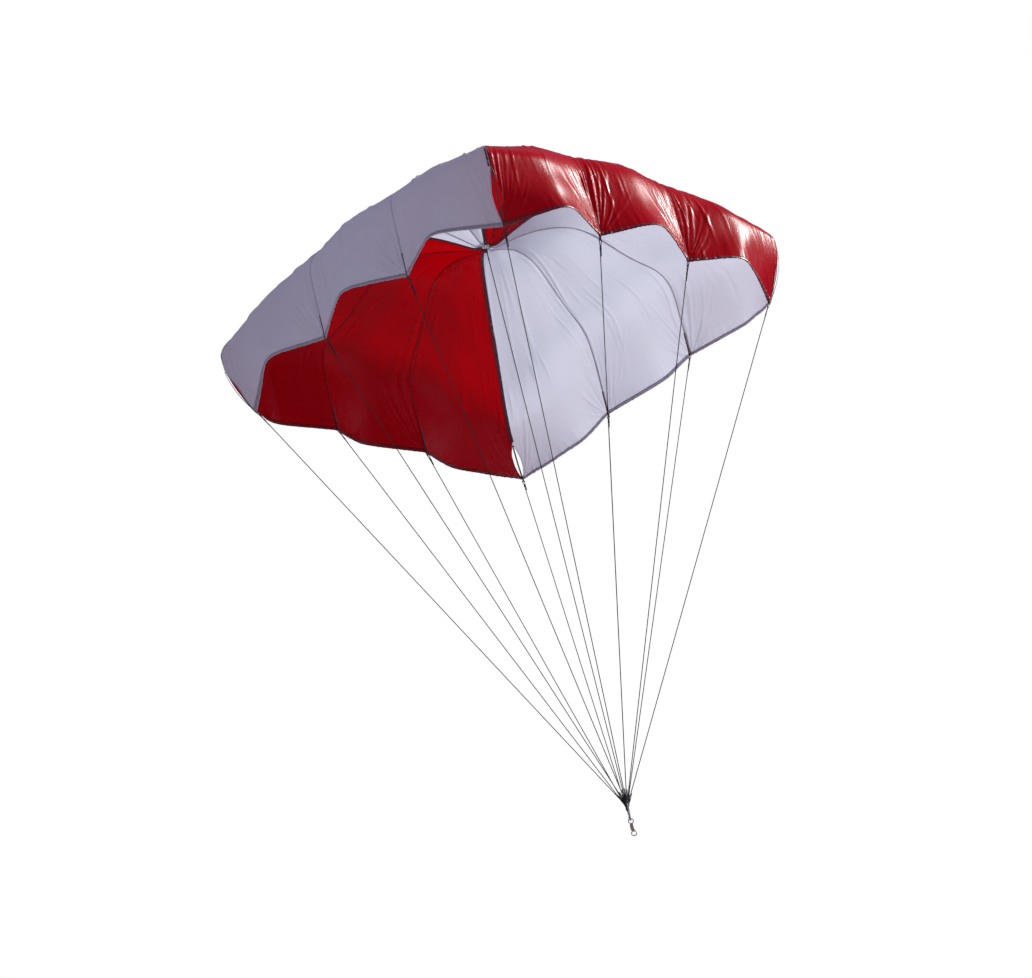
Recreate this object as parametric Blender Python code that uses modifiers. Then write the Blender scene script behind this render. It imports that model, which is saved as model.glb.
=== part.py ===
"""Square inflated canopy kite with its lines, delta link and swivel, in metres, +Z up.

The canopy is twelve gores in four quadrants, with a corner seam between each two quadrants.
Twelve lines run from tabs on its hem to the bar of a delta link. The link hangs in the top
eye of a barrel swivel, whose lower eye is the tow eye. The origin is the middle of the tow
eye's hole, the front corner is at -Y and the right corner at +X.
"""

import math

import bmesh
import bpy
import numpy as np
from mathutils import Matrix, Vector

# Clearances
TOUCH_GAP = 0.0003
RUNNING_GAP = 0.0003

# Canopy: four corners, and two more line points on each side
CORNER_RADIUS = 0.750
SIDE_BOW = 0.034
SIDE_LIFT = 0.036
APEX_RISE = 0.375
CORNER_SWELL = 0.110
SIDE_SWELL = 0.085
SWELL_START = 0.034
SWELL_PEAK = 0.300
SWELL_END = 0.88
CORNER_OVERHANG = 0.066
CORNER_SHOULDER = 0.194
CORNER_FULLNESS = 1.95
SIDE_OVERHANG = 0.001
SIDE_SHOULDER = 0.159
SIDE_FULLNESS = 4.7
HEM_REACH = 0.0765
HEM_RISE = 0.033
HEM_FADE = 5.4
CREST_ROUNDING = 0.19
HEM_BILLOW = 0.084
CROWN_BILLOW = 0.104
CORNERS = 4
GORES_PER_SIDE = 3
GORE_COUNT = CORNERS * GORES_PER_SIDE

# Cloth and trim
FABRIC_THICKNESS = 0.0010
SEAM_SETBACK = 0.0008
GORE_TIP_RADIUS = 0.012
SLOT_START = 0.004
SLOT_LENGTH = 0.170
SLOT_WIDTH = 0.026
HEM_WIDTH = 0.010
HEM_FOLD_THICKNESS = 0.0008
SEWN_EASE = 0.0008
TAPE_WIDTH = 0.012
TAPE_THICKNESS = 0.0010
CROWN_PATCH_RADIUS = 0.024
CROWN_PATCH_THICKNESS = 0.0012

# Line tabs
TAB_WIDTH = 0.004
TAB_THICKNESS = 0.0010
TAB_DROP = 0.012
SIDE_TAB_LENGTH = 0.075
CORNER_TAB_SHORT = 0.012
TAB_TO_HEM = 0.0013
CROWN_TAB_DROP = 0.020
CROWN_TAB_REACH = 0.008
SIDE_TAB_POINTS = 5
CORNER_TAB_POINTS = 8

# Lines
LINE_DIAMETER = 0.0025
LINE_DROP = 1.449
EYE_THROAT = 0.014
EYE_TAIL = 0.030

# Delta link and its sleeve nut
LINK_WIRE_DIAMETER = 0.0040
LINK_HALF_ANGLE = math.radians(33.2)
LINK_BASE_BEND = 0.0050
LINK_BAR_SPARE = 0.0010
LINK_APEX_BEND = 0.0060
LINK_GATE_GAP = 0.0050
LINK_GATE_PLACE = 0.0100
SLEEVE_LENGTH = 0.0090
SLEEVE_ACROSS_FLATS = 0.0070
NUT_SIDES = 6

# Swivel
EYE_HOLE_RADIUS = 0.0055
EYE_WIRE_DIAMETER = 0.0030
EYE_STEM_DIAMETER = 0.0040
EYE_HEAD_DIAMETER = 0.0090
EYE_HEAD_THICKNESS = 0.0025
EYE_TO_BARREL = 0.0015
BARREL_DIAMETER = 0.0130
BARREL_LENGTH = 0.0180
BARREL_END_WALL = 0.0020
BARREL_EDGE = 0.0010
WASHER_THICKNESS = 0.0010

# Mesh fineness
SLOT_ROWS = 3
FLANK_ROWS = 12
GORE_COLUMNS = 8
SEAM_SAMPLES = 240
TURN_STEPS = 24
WIRE_STEPS = 10
BEND_POINTS = 7
SEAM_STEP = 0.001
AXIS_MERGE = 0.000001
SMOOTH_BELOW = math.radians(35)

UP = Vector((0.0, 0.0, 1.0))

# Heights that follow from the sizes above
EYE_RING_RADIUS = EYE_HOLE_RADIUS + EYE_WIRE_DIAMETER / 2
EYE_OUTER_RADIUS = EYE_RING_RADIUS + EYE_WIRE_DIAMETER / 2
BARREL_BOTTOM = EYE_OUTER_RADIUS + EYE_TO_BARREL
BARREL_TOP = BARREL_BOTTOM + BARREL_LENGTH
TOP_EYE_HEIGHT = BARREL_TOP + EYE_TO_BARREL + EYE_OUTER_RADIUS
LINK_PIVOT = TOP_EYE_HEIGHT + EYE_RING_RADIUS
LINK_SEAT = TOP_EYE_HEIGHT + EYE_HOLE_RADIUS - LINK_WIRE_DIAMETER / 2 - TOUCH_GAP
LINE_COUNT = GORE_COUNT + 1
LINE_PITCH = LINE_DIAMETER + 2 * TOUCH_GAP
LINK_BAR_STRAIGHT = LINE_PITCH * LINE_COUNT + LINK_BAR_SPARE
LINK_BASE_ANGLE = math.pi / 2 - LINK_HALF_ANGLE
LINK_HALF_WIDTH = LINK_BAR_STRAIGHT / 2 + LINK_BASE_BEND / math.tan(LINK_BASE_ANGLE / 2)
LINK_HEIGHT = LINK_HALF_WIDTH / math.tan(LINK_HALF_ANGLE)
LINK_VERTEX = LINK_SEAT - LINK_APEX_BEND * (1 / math.sin(LINK_HALF_ANGLE) - 1)
BAR_HEIGHT = LINK_VERTEX + LINK_HEIGHT
SKIRT_HEIGHT = BAR_HEIGHT + LINE_DROP

# Layers on each side of the cloth, measured from its middle
CLOTH_FACE = FABRIC_THICKNESS / 2
HEM_INNER = CLOTH_FACE + SEWN_EASE
HEM_OUTER = HEM_INNER + HEM_FOLD_THICKNESS
TAPE_MIDDLE = CLOTH_FACE + SEWN_EASE + TAPE_THICKNESS / 2
TAPE_OUTER = TAPE_MIDDLE + TAPE_THICKNESS / 2
HEM_END_SETBACK = TAB_WIDTH / 2 + TAB_TO_HEM

CORNER_NAMES = ("front", "right", "back", "left")
QUADRANT_NAMES = ("front_right", "back_right", "back_left", "front_left")


def material(name, colour, roughness, metallic=0.0):
    made = bpy.data.materials.new(name)
    made.use_nodes = True
    shader = made.node_tree.nodes["Principled BSDF"]
    shader.inputs["Base Color"].default_value = (*colour, 1.0)
    shader.inputs["Roughness"].default_value = roughness
    shader.inputs["Metallic"].default_value = metallic
    made.diffuse_color = (*colour, 1.0)
    return made


def clear_scene():
    for old in list(bpy.data.objects):
        bpy.data.objects.remove(old, do_unlink=True)


def collection(name):
    made = bpy.data.collections.new(name)
    bpy.context.scene.collection.children.link(made)
    return made


def place(name, data, finish):
    made = bpy.data.objects.new(name, data)
    data.materials.append(finish)
    PARTS.objects.link(made)
    return made


def hang(name, height, pieces):
    """An empty on a joint's axis carries the pieces that turn about it, without moving them."""
    pivot = bpy.data.objects.new(name, None)
    pivot.location = (0.0, 0.0, height)
    PARTS.objects.link(pivot)
    for piece in pieces:
        piece.parent = pivot
        piece.matrix_parent_inverse = Matrix.Translation((0.0, 0.0, -height))
    return pivot


def shade_round(data):
    data.shade_smooth()
    data.set_sharp_from_angle(angle=SMOOTH_BELOW)


# ---------------------------------------------------------------- canopy shape


def line_point(index):
    """One of the twelve points where a line meets the hem, counted from the front corner."""
    side, step = divmod(index % GORE_COUNT, GORES_PER_SIDE)
    start, end = (
        Vector((math.cos(angle), math.sin(angle), 0.0)) * CORNER_RADIUS
        for angle in (math.pi / 2 * (side - 1), math.pi / 2 * side)
    )
    point = start.lerp(end, step / GORES_PER_SIDE) + UP * SKIRT_HEIGHT
    if step:
        point += (start + end).normalized() * SIDE_BOW + UP * SIDE_LIFT
    return point


def seam_direction(index):
    """The level direction from the canopy's axis to a line point."""
    point = line_point(index)
    return Vector((point.x, point.y, 0.0)).normalized()


def seam_profile(index):
    """Radius, height and arc length along a seam, from its line point over the shoulder to the apex."""
    corner = index % GORES_PER_SIDE == 0
    overhang = CORNER_OVERHANG if corner else SIDE_OVERHANG
    shoulder = CORNER_SHOULDER if corner else SIDE_SHOULDER
    power = 2.0 / (CORNER_FULLNESS if corner else SIDE_FULLNESS)
    point = line_point(index)
    start = math.hypot(point.x, point.y)
    shoulder_height = SKIRT_HEIGHT + shoulder
    below = np.linspace(1.0, 0.0, SEAM_SAMPLES // 4)
    turn = math.pi / 2 * (1.0 - np.linspace(1.0, 0.0, SEAM_SAMPLES)[1:] ** 2)
    radius = np.concatenate([
        start + overhang * (1.0 - below**2),
        (start + overhang) * np.abs(np.cos(turn)) ** power,
    ])
    height = np.concatenate([
        shoulder_height + (point.z - shoulder_height) * below,
        shoulder_height + (APEX_RISE - shoulder) * np.sin(turn) ** power,
    ])
    radius[-1] = 0.0
    height[len(below):] += crown_swell(radius[len(below):], start + overhang, corner)
    steps = np.hypot(np.diff(radius), np.diff(height))
    return radius, height, np.concatenate([[0.0], np.cumsum(steps)])


def crown_swell(radius, reach, corner):
    """How far a seam swells up round the apex, which the crown line holds down."""
    climb = np.clip((radius - SWELL_START) / (SWELL_PEAK - SWELL_START), 0.0, 1.0)
    fall = np.clip((radius - SWELL_PEAK) / (reach * SWELL_END - SWELL_PEAK), 0.0, 1.0)
    shape = np.sin(math.pi / 2 * climb) * np.cos(math.pi / 2 * fall) ** 2
    return (CORNER_SWELL if corner else SIDE_SWELL) * shape


def seam_points(index, shares):
    """Points at shares of a seam's arc length, 0 at the hem and 1 at the apex."""
    radius, height, arc = seam_profile(index)
    out = seam_direction(index)
    wanted = np.asarray(shares) * arc[-1]
    level = np.interp(wanted, arc, radius)
    return np.stack([out.x * level, out.y * level, np.interp(wanted, arc, height)], axis=-1)


def seam_length(index):
    return seam_profile(index)[2][-1]


def lobe(across):
    """How far a lobe stands out, 0 at its two seams and 1 at its crest."""
    offset = np.abs(2.0 * across - 1.0)
    edge = math.hypot(1.0, CREST_ROUNDING) - CREST_ROUNDING
    return 1.0 - (np.hypot(offset, CREST_ROUNDING) - CREST_ROUNDING) / edge


def side_outward(gore):
    """The level direction that faces out of the side that holds this gore."""
    angle = math.pi / 2 * (gore // GORES_PER_SIDE - 0.5)
    return np.array([math.cos(angle), math.sin(angle), 0.0])


def unit_rows(vectors):
    return vectors / np.linalg.norm(vectors, axis=-1, keepdims=True)


def gore_grid(gore):
    """Points of a gore's middle surface, in rows from the hem up and columns from seam to seam."""
    up = row_shares()
    across = np.linspace(0.0, 1.0, GORE_COLUMNS + 1)
    first = seam_points(gore, up)
    chord = seam_points(gore + 1, up) - first
    width = np.linalg.norm(chord, axis=1, keepdims=True)
    along = np.gradient(first + chord / 2, axis=0)
    outward = unit_rows(np.cross(chord, along))
    rise = up[:, None]
    billow = width * (HEM_BILLOW + (CROWN_BILLOW - HEM_BILLOW) * rise) * rise
    arch = side_outward(gore) * HEM_REACH + np.array([0.0, 0.0, HEM_RISE])
    stand_out = outward * billow + arch * (1.0 - rise) ** HEM_FADE
    return (
        first[:, None]
        + chord[:, None] * across[None, :, None]
        + stand_out[:, None] * lobe(across)[None, :, None]
    )


def slot_half_width(up, length):
    """Half the width of the corner slot at shares up a corner seam."""
    share = np.clip((up * length - SLOT_START) / SLOT_LENGTH, 0.0, 1.0)
    return SLOT_WIDTH / 2 * np.sin(math.pi * share)


def row_shares():
    """Shares up a gore: the hem and its top, rows up the corner slot, rows to the flat crown, the cut tip."""
    length = seam_length(0)
    slot_top = SLOT_START + SLOT_LENGTH
    slot_rows = np.linspace(SLOT_START, slot_top, SLOT_ROWS + 1)[1:]
    flank_rows = np.linspace(slot_top, length - SWELL_START, FLANK_ROWS + 1)[1:]
    rows = [[0.0, HEM_WIDTH], slot_rows, flank_rows, [length - GORE_TIP_RADIUS]]
    return np.concatenate(rows) / length


# ---------------------------------------------------------------- cloth pieces


def open_sheet(name, rows, finish, thickness, offset=0.0):
    """A grid of points as an open surface, given its thickness by Solidify."""
    shape = bmesh.new()
    grid = [[shape.verts.new(point) for point in row] for row in rows]
    for lower, upper in zip(grid, grid[1:]):
        for i in range(len(lower) - 1):
            shape.faces.new((lower[i], lower[i + 1], upper[i + 1], upper[i]))
    data = bpy.data.meshes.new(name)
    shape.to_mesh(data)
    shape.free()
    made = place(name, data, finish)
    shell = made.modifiers.new("thickness", "SOLIDIFY")
    shell.thickness = thickness
    shell.offset = offset
    shell.use_even_offset = True
    return made


def move_towards(start, end, distance):
    """Points moved from start towards end, each by its own distance."""
    return start + unit_rows(end - start) * np.reshape(distance, (-1, 1))


def gore_sheet(gore, finish):
    """One gore, set back from its seams and its hem's fold, with its half of each corner slot cut away."""
    points = gore_grid(gore)
    for seam, column, beside in ((gore, 0, 1), (gore + 1, -1, -2)):
        setback = np.full(len(points), SEAM_SETBACK)
        if seam % GORES_PER_SIDE == 0:
            setback += slot_half_width(row_shares(), seam_length(seam))
        points[:, column] = move_towards(points[:, column], points[:, beside], setback)
    points[0] = move_towards(points[0], points[1], HEM_FOLD_THICKNESS)
    side, step = divmod(gore, GORES_PER_SIDE)
    name = f"gore_{QUADRANT_NAMES[side]}_{step + 1}"
    return open_sheet(name, points, finish, FABRIC_THICKNESS)


def hem_fold(side, finish):
    """A quadrant's hem: a strip folded round the cloth's edge along three scallops."""
    grids = [gore_grid(side * GORES_PER_SIDE + step) for step in range(GORES_PER_SIDE)]
    edge, top = (
        np.concatenate([grid[row][:-1] for grid in grids] + [grids[-1][row][-1:]]) for row in (0, 1)
    )
    for line in (edge, top):
        line[:1] = move_towards(line[:1], line[1:2], HEM_END_SETBACK)
        line[-1:] = move_towards(line[-1:], line[-2:-1], HEM_END_SETBACK)
    outward = unit_rows(np.cross(np.gradient(edge, axis=0), top - edge)) * HEM_INNER
    section = [top + outward, edge + outward, edge - outward, top - outward]
    return open_sheet(f"hem_{QUADRANT_NAMES[side]}", section, finish, HEM_FOLD_THICKNESS, offset=-1.0)


def seam_outward(index, shares):
    """Unit vectors square to a seam, in its upright plane, pointing out of the canopy."""
    after = seam_points(index, np.minimum(shares + SEAM_STEP, 1.0))
    before = seam_points(index, np.maximum(shares - SEAM_STEP, 0.0))
    tangent = after - before
    sideways = np.array(UP.cross(seam_direction(index)))
    return unit_rows(np.cross(sideways, tangent))


def seam_path(index, lengths, offset):
    """Points at lengths up a seam, moved by offset out of the canopy."""
    shares = np.asarray(lengths) / seam_length(index)
    return seam_points(index, shares) + seam_outward(index, shares) * offset


def flanks(index, rows):
    """Unit vectors from a seam along the cloth on each side of it, and how fast each climbs outwards."""
    middle = seam_points(index, row_shares()[rows])
    outward = seam_outward(index, row_shares()[rows])
    found = []
    for gore, column in (((index - 1) % GORE_COUNT, -2), (index, 1)):
        flank = unit_rows(gore_grid(gore)[rows, column] - middle)
        climb = np.sum(flank * outward, axis=1, keepdims=True)
        found.append((flank, climb / np.sqrt(1.0 - climb**2)))
    return middle, outward, found


def corner_tape(corner, finish):
    """The tape inside a corner seam, from the slot's top up, folded along the seam where it is a ridge."""
    middle, outward, sides = flanks(corner * GORES_PER_SIDE, slice(1 + SLOT_ROWS, None))
    steepest = np.minimum(*(slope for _, slope in sides))
    inward = -outward * TAPE_MIDDLE * np.sqrt(1.0 + steepest**2)
    edges = []
    for flank, _ in sides:
        climb = np.maximum(np.sum(flank * outward, axis=1, keepdims=True), 0.0)
        edges.append(middle + unit_rows(flank - outward * climb) * TAPE_WIDTH / 2)
    rows = [edges[0] + inward, middle + inward, edges[1] + inward]
    return open_sheet(f"seam_tape_{CORNER_NAMES[corner]}", rows, finish, TAPE_THICKNESS)


def ribbon(name, path, across, width, thickness, finish):
    """A flat tape that follows a path and lies square to it, with its width along across."""
    half = np.array(across) * width / 2
    return open_sheet(name, [path - half, path + half], finish, thickness)


def hem_valley(index):
    """How far the hem's outer face stands outside its seam, half a tab's width to each side."""
    slope = max(0.0, *(float(climb.max()) for _, climb in flanks(index, slice(0, 2))[2]))
    return HEM_OUTER * math.hypot(1.0, slope) + slope * TAB_WIDTH / 2


def line_direction(index):
    """From a line point towards the middle of the link's bar."""
    return (UP * BAR_HEIGHT - line_point(index)).normalized()


def tab_loop_centre(index):
    return line_point(index) + line_direction(index) * TAB_DROP


def tab_loop_radius():
    return LINE_DIAMETER / 2 + TOUCH_GAP + TAB_THICKNESS / 2


def line_tab(index, finish):
    """A narrow tape sewn up both faces of a seam, and looped below the hem round a line's eye."""
    corner = index % GORES_PER_SIDE == 0
    length = SLOT_START + SLOT_LENGTH - CORNER_TAB_SHORT if corner else SIDE_TAB_LENGTH
    outside = hem_valley(index) + TOUCH_GAP + TAB_THICKNESS / 2
    inside = max(HEM_OUTER, TAPE_OUTER) + TOUCH_GAP + TAB_THICKNESS / 2
    lengths = np.linspace(0.0, length, CORNER_TAB_POINTS if corner else SIDE_TAB_POINTS)
    outer_leg = seam_path(index, lengths, outside)
    inner_leg = seam_path(index, lengths, -inside)
    sideways = seam_direction(index).cross(UP)
    down = line_direction(index)
    out = down.cross(sideways)
    if out.dot(seam_direction(index)) < 0:
        out.negate()
    centre = tab_loop_centre(index)
    angles = [math.pi * i / (BEND_POINTS - 1) for i in range(BEND_POINTS)]
    loop = [
        centre + (out * math.cos(angle) + down * math.sin(angle)) * tab_loop_radius()
        for angle in angles
    ]
    path = np.concatenate([outer_leg[::-1], np.array([tuple(point) for point in loop]), inner_leg])
    return ribbon(f"tab_{point_name(index)}", path, sideways, TAB_WIDTH, TAB_THICKNESS, finish)


def crown_patch(finish):
    """The round patch over the place where all the gores meet."""
    bottom = crown_patch_bottom()
    top = bottom + CROWN_PATCH_THICKNESS
    profile = [(0.0, top), (CROWN_PATCH_RADIUS, top), (CROWN_PATCH_RADIUS, bottom), (0.0, bottom)]
    return turned("crown_patch", profile, finish, closed=False)


def crown_lobe_height():
    """How far the lobes rise above their seams under the edge of the crown patch."""
    gore_width = 2 * CROWN_PATCH_RADIUS * math.sin(math.pi / GORE_COUNT)
    return CROWN_BILLOW * gore_width


def crown_patch_bottom():
    return SKIRT_HEIGHT + APEX_RISE + CLOTH_FACE + crown_lobe_height() + TOUCH_GAP


def crown_loop_centre():
    return UP * (crown_patch_bottom() - CROWN_TAB_DROP)


def crown_tab(finish):
    """A tape under the crown patch, looped down through the gores' tips for the crown line's eye."""
    top = crown_patch_bottom() - TOUCH_GAP - TAB_THICKNESS / 2
    radius = tab_loop_radius()
    centre = crown_loop_centre()
    angles = [math.pi * i / (BEND_POINTS - 1) for i in range(BEND_POINTS)]
    loop = [centre + Vector((math.cos(angle), 0.0, -math.sin(angle))) * radius for angle in angles]
    path = [
        (CROWN_TAB_REACH, 0.0, top),
        (radius, 0.0, top),
        *[tuple(point) for point in loop],
        (-radius, 0.0, top),
        (-CROWN_TAB_REACH, 0.0, top),
    ]
    return ribbon("tab_crown", np.array(path), Vector((0.0, 1.0, 0.0)), TAB_WIDTH, TAB_THICKNESS, finish)


# ---------------------------------------------------------------- lines


def point_name(index):
    side, step = divmod(index, GORES_PER_SIDE)
    return f"{QUADRANT_NAMES[side]}_{step}" if step else CORNER_NAMES[side]


def eye_radius(across, along):
    """Radius of a line's eye round a bar or tape with this section, at the line's middle."""
    return math.hypot(across, along) / 2 + TOUCH_GAP + LINE_DIAMETER / 2


def bar_places():
    """The place of each line's eye along the link's bar, in the order of the lines' tops along Y."""
    tops = [*map(line_point, range(GORE_COUNT)), Vector((0.0, 0.0, 0.0))]
    order = sorted(range(LINE_COUNT), key=lambda i: (round(tops[i].y, 6), tops[i].x))
    first = -LINE_PITCH * (LINE_COUNT - 1) / 2
    return {index: first + LINE_PITCH * rank for rank, index in enumerate(order)}


def eye_points(centre, radius, back, side):
    """A line's turn round a centre: from +side, past the point opposite to back, to -side."""
    angles = [math.pi * i / (BEND_POINTS - 1) for i in range(BEND_POINTS)]
    return [centre + (side * math.cos(angle) - back * math.sin(angle)) * radius for angle in angles]


def line_tube(name, tab_bottom, tab_across, bar_place, finish):
    """One line with an eye at each end, each eye's tail lying beside the line."""
    bar_centre = Vector((0.0, bar_place, BAR_HEIGHT))
    rise = (tab_bottom - bar_centre).normalized()
    top_side = (tab_across - rise * tab_across.dot(rise)).normalized()
    bar_along = Vector((0.0, 1.0, 0.0))
    bar_side = rise.cross(bar_along).normalized()
    if bar_side.dot(top_side) < 0:
        top_side.negate()
    bar_back = bar_along.cross(bar_side).normalized()
    if bar_back.dot(rise) < 0:
        bar_back.negate()
    bar_radius = LINK_WIRE_DIAMETER / 2 + TOUCH_GAP + LINE_DIAMETER / 2
    tab_radius = eye_radius(TAB_WIDTH, TAB_THICKNESS)
    beside = LINE_DIAMETER / 2 + TOUCH_GAP / 2
    top_turn = eye_points(tab_bottom, tab_radius, -rise, top_side)
    low_turn = eye_points(bar_centre, bar_radius, bar_back, bar_side)
    top_throat = tab_bottom - rise * EYE_THROAT
    low_throat = bar_centre + rise * EYE_THROAT
    tail = rise * EYE_TAIL
    path = [
        top_throat - top_side * beside - tail,
        top_throat - top_side * beside,
        *reversed(top_turn),
        top_throat + top_side * beside,
        low_throat + bar_side * beside,
        *low_turn,
        low_throat - bar_side * beside,
        low_throat - bar_side * beside + tail,
    ]
    return tube(name, path, LINE_DIAMETER, 2, finish)


# ---------------------------------------------------------------- turned and bent metal


def turned(name, profile, finish, closed=True):
    """A profile of (radius, height) turned about Z. It runs down its outer side, top to bottom."""
    shape = bmesh.new()
    corners = [shape.verts.new((radius, 0.0, height)) for radius, height in profile]
    for start, end in zip(corners, corners[1:]):
        shape.edges.new((start, end))
    if closed:
        shape.edges.new((corners[-1], corners[0]))
    data = bpy.data.meshes.new(name)
    shape.to_mesh(data)
    shape.free()
    made = place(name, data, finish)
    screw = made.modifiers.new("turn", "SCREW")
    screw.steps = TURN_STEPS
    screw.render_steps = TURN_STEPS
    screw.use_merge_vertices = True
    screw.merge_threshold = AXIS_MERGE
    screw.use_smooth_shade = False
    return made


def tube(name, path, diameter, fineness, finish):
    """A round wire or cord along straight runs between the points of a path, with closed ends."""
    data = bpy.data.curves.new(name, "CURVE")
    data.dimensions = "3D"
    data.bevel_depth = diameter / 2
    data.bevel_resolution = fineness
    data.use_fill_caps = True
    spline = data.splines.new("POLY")
    spline.points.add(len(path) - 1)
    for knot, point in zip(spline.points, path):
        knot.co = (*point, 1.0)
    return place(name, data, finish)


def bend(vertex, before, after, radius):
    """Points of a round bend that replaces the corner at vertex, on the way from before to after."""
    back = (before - vertex).normalized()
    ahead = (after - vertex).normalized()
    half_angle = back.angle(ahead) / 2
    centre = vertex + (back + ahead).normalized() * radius / math.sin(half_angle)
    start = (vertex + back * radius / math.tan(half_angle) - centre).normalized()
    end = (vertex + ahead * radius / math.tan(half_angle) - centre).normalized()
    return [centre + start.slerp(end, i / (BEND_POINTS - 1)) * radius for i in range(BEND_POINTS)]


def link_corners():
    apex = Vector((0.0, 0.0, LINK_VERTEX))
    right = Vector((0.0, LINK_HALF_WIDTH, BAR_HEIGHT))
    left = Vector((0.0, -LINK_HALF_WIDTH, BAR_HEIGHT))
    return apex, right, left


def gate_leg():
    """The start of the straight stretch of the link's gate leg, above the apex bend, and its direction."""
    apex, right, _ = link_corners()
    upward = (right - apex).normalized()
    return apex + upward * LINK_APEX_BEND / math.tan(LINK_HALF_ANGLE), upward


def delta_link(finish):
    """The triangular link: one bent wire, open at the gate that the sleeve nut closes."""
    apex, right, left = link_corners()
    start, upward = gate_leg()
    gate = start + upward * LINK_GATE_PLACE
    half_gap = upward * LINK_GATE_GAP / 2
    path = [
        gate + half_gap,
        *bend(right, apex, left, LINK_BASE_BEND),
        *bend(left, right, apex, LINK_BASE_BEND),
        *bend(apex, left, right, LINK_APEX_BEND),
        gate - half_gap,
    ]
    return tube("delta_link", path, LINK_WIRE_DIAMETER, 3, finish)


def link_sleeve(finish):
    """The six-sided nut that bridges the link's gate, a straight sleeve with a clear bore."""
    start, upward = gate_leg()
    corner_radius = SLEEVE_ACROSS_FLATS / 2 / math.cos(math.pi / NUT_SIDES)
    bore_radius = LINK_WIRE_DIAMETER / 2 + RUNNING_GAP
    data = bpy.data.curves.new("link_sleeve_nut", "CURVE")
    data.dimensions = "2D"
    data.fill_mode = "BOTH"
    data.extrude = SLEEVE_LENGTH / 2
    for count, radius in ((NUT_SIDES, corner_radius), (TURN_STEPS, bore_radius)):
        spline = data.splines.new("POLY")
        spline.points.add(count - 1)
        spline.use_cyclic_u = True
        for i, knot in enumerate(spline.points):
            angle = 2 * math.pi * i / count
            knot.co = (radius * math.cos(angle), radius * math.sin(angle), 0.0, 1.0)
    made = place("link_sleeve_nut", data, finish)
    made.matrix_world = Matrix.Translation(start + upward * LINK_GATE_PLACE) @ upward.to_track_quat(
        "Z", "Y"
    ).to_matrix().to_4x4()
    return made


def swivel_eye(name, ring_height, points_up, finish):
    """A ring with a stem and a head. The head lies inside the barrel, under its thrust washer."""
    facing = 1.0 if points_up else -1.0
    wall_face = (BARREL_BOTTOM if points_up else BARREL_TOP) + facing * BARREL_END_WALL
    head_low = wall_face + facing * (WASHER_THICKNESS + 2 * TOUCH_GAP)
    head_high = head_low + facing * EYE_HEAD_THICKNESS
    stem_start = ring_height + facing * EYE_RING_RADIUS
    stem = EYE_STEM_DIAMETER / 2
    head = EYE_HEAD_DIAMETER / 2
    profile = [
        (0.0, head_high),
        (head, head_high),
        (head, head_low),
        (stem, head_low),
        (stem, stem_start),
        (0.0, stem_start),
    ]
    made = turned(name, profile if points_up else profile[::-1], finish, closed=False)
    bpy.ops.mesh.primitive_torus_add(
        major_radius=EYE_RING_RADIUS,
        minor_radius=EYE_WIRE_DIAMETER / 2,
        major_segments=TURN_STEPS,
        minor_segments=WIRE_STEPS,
        location=(0.0, 0.0, ring_height),
        rotation=(math.pi / 2, 0.0, 0.0),
    )
    ring = bpy.context.object
    ring.name = f"{name}_ring"
    for holder in list(ring.users_collection):
        holder.objects.unlink(ring)
    HELPERS.objects.link(ring)
    ring.hide_render = True
    ring.display_type = "WIRE"
    join = made.modifiers.new("ring", "BOOLEAN")
    join.operation = "UNION"
    join.object = ring
    return made


def swivel_barrel(finish):
    """The hollow barrel, open at each end only round a stem."""
    outer = BARREL_DIAMETER / 2
    hole = EYE_STEM_DIAMETER / 2 + RUNNING_GAP
    cavity = EYE_HEAD_DIAMETER / 2 + RUNNING_GAP
    edge = BARREL_EDGE
    upper_face = BARREL_TOP - BARREL_END_WALL
    lower_face = BARREL_BOTTOM + BARREL_END_WALL
    profile = [
        (outer - edge, BARREL_TOP),
        (outer, BARREL_TOP - edge),
        (outer, BARREL_BOTTOM + edge),
        (outer - edge, BARREL_BOTTOM),
        (hole, BARREL_BOTTOM),
        (hole, lower_face),
        (cavity, lower_face),
        (cavity, upper_face),
        (hole, upper_face),
        (hole, BARREL_TOP),
    ]
    return turned("swivel_barrel", profile, finish)


def thrust_washer(name, near_wall, facing, finish):
    """A washer between a barrel end and an eye's head."""
    inner = EYE_STEM_DIAMETER / 2 + RUNNING_GAP
    outer = EYE_HEAD_DIAMETER / 2
    start = near_wall + facing * TOUCH_GAP
    top = max(start, start + facing * WASHER_THICKNESS)
    bottom = top - WASHER_THICKNESS
    return turned(name, [(outer, top), (outer, bottom), (inner, bottom), (inner, top)], finish)


# ---------------------------------------------------------------- the whole kite


def build_canopy():
    red_cloth = material("red_cloth", (0.62, 0.008, 0.02), 0.35)
    white_cloth = material("white_cloth", (0.72, 0.70, 0.78), 0.45)
    white_hem = material("white_hem", (0.48, 0.46, 0.50), 0.6)
    red_hem = material("red_hem", (0.25, 0.01, 0.02), 0.5)
    seam_tape = material("seam_tape", (0.22, 0.07, 0.09), 0.6)
    webbing = material("webbing", (0.10, 0.06, 0.08), 0.7)
    cloths = (red_cloth, white_cloth, red_cloth, white_cloth)
    hems = (red_hem, white_hem, red_hem, white_hem)
    for gore in range(GORE_COUNT):
        gore_sheet(gore, cloths[gore // GORES_PER_SIDE])
    for side in range(CORNERS):
        hem_fold(side, hems[side])
        corner_tape(side, seam_tape)
    for index in range(GORE_COUNT):
        line_tab(index, webbing)
    crown_patch(white_cloth)
    crown_tab(webbing)


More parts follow.
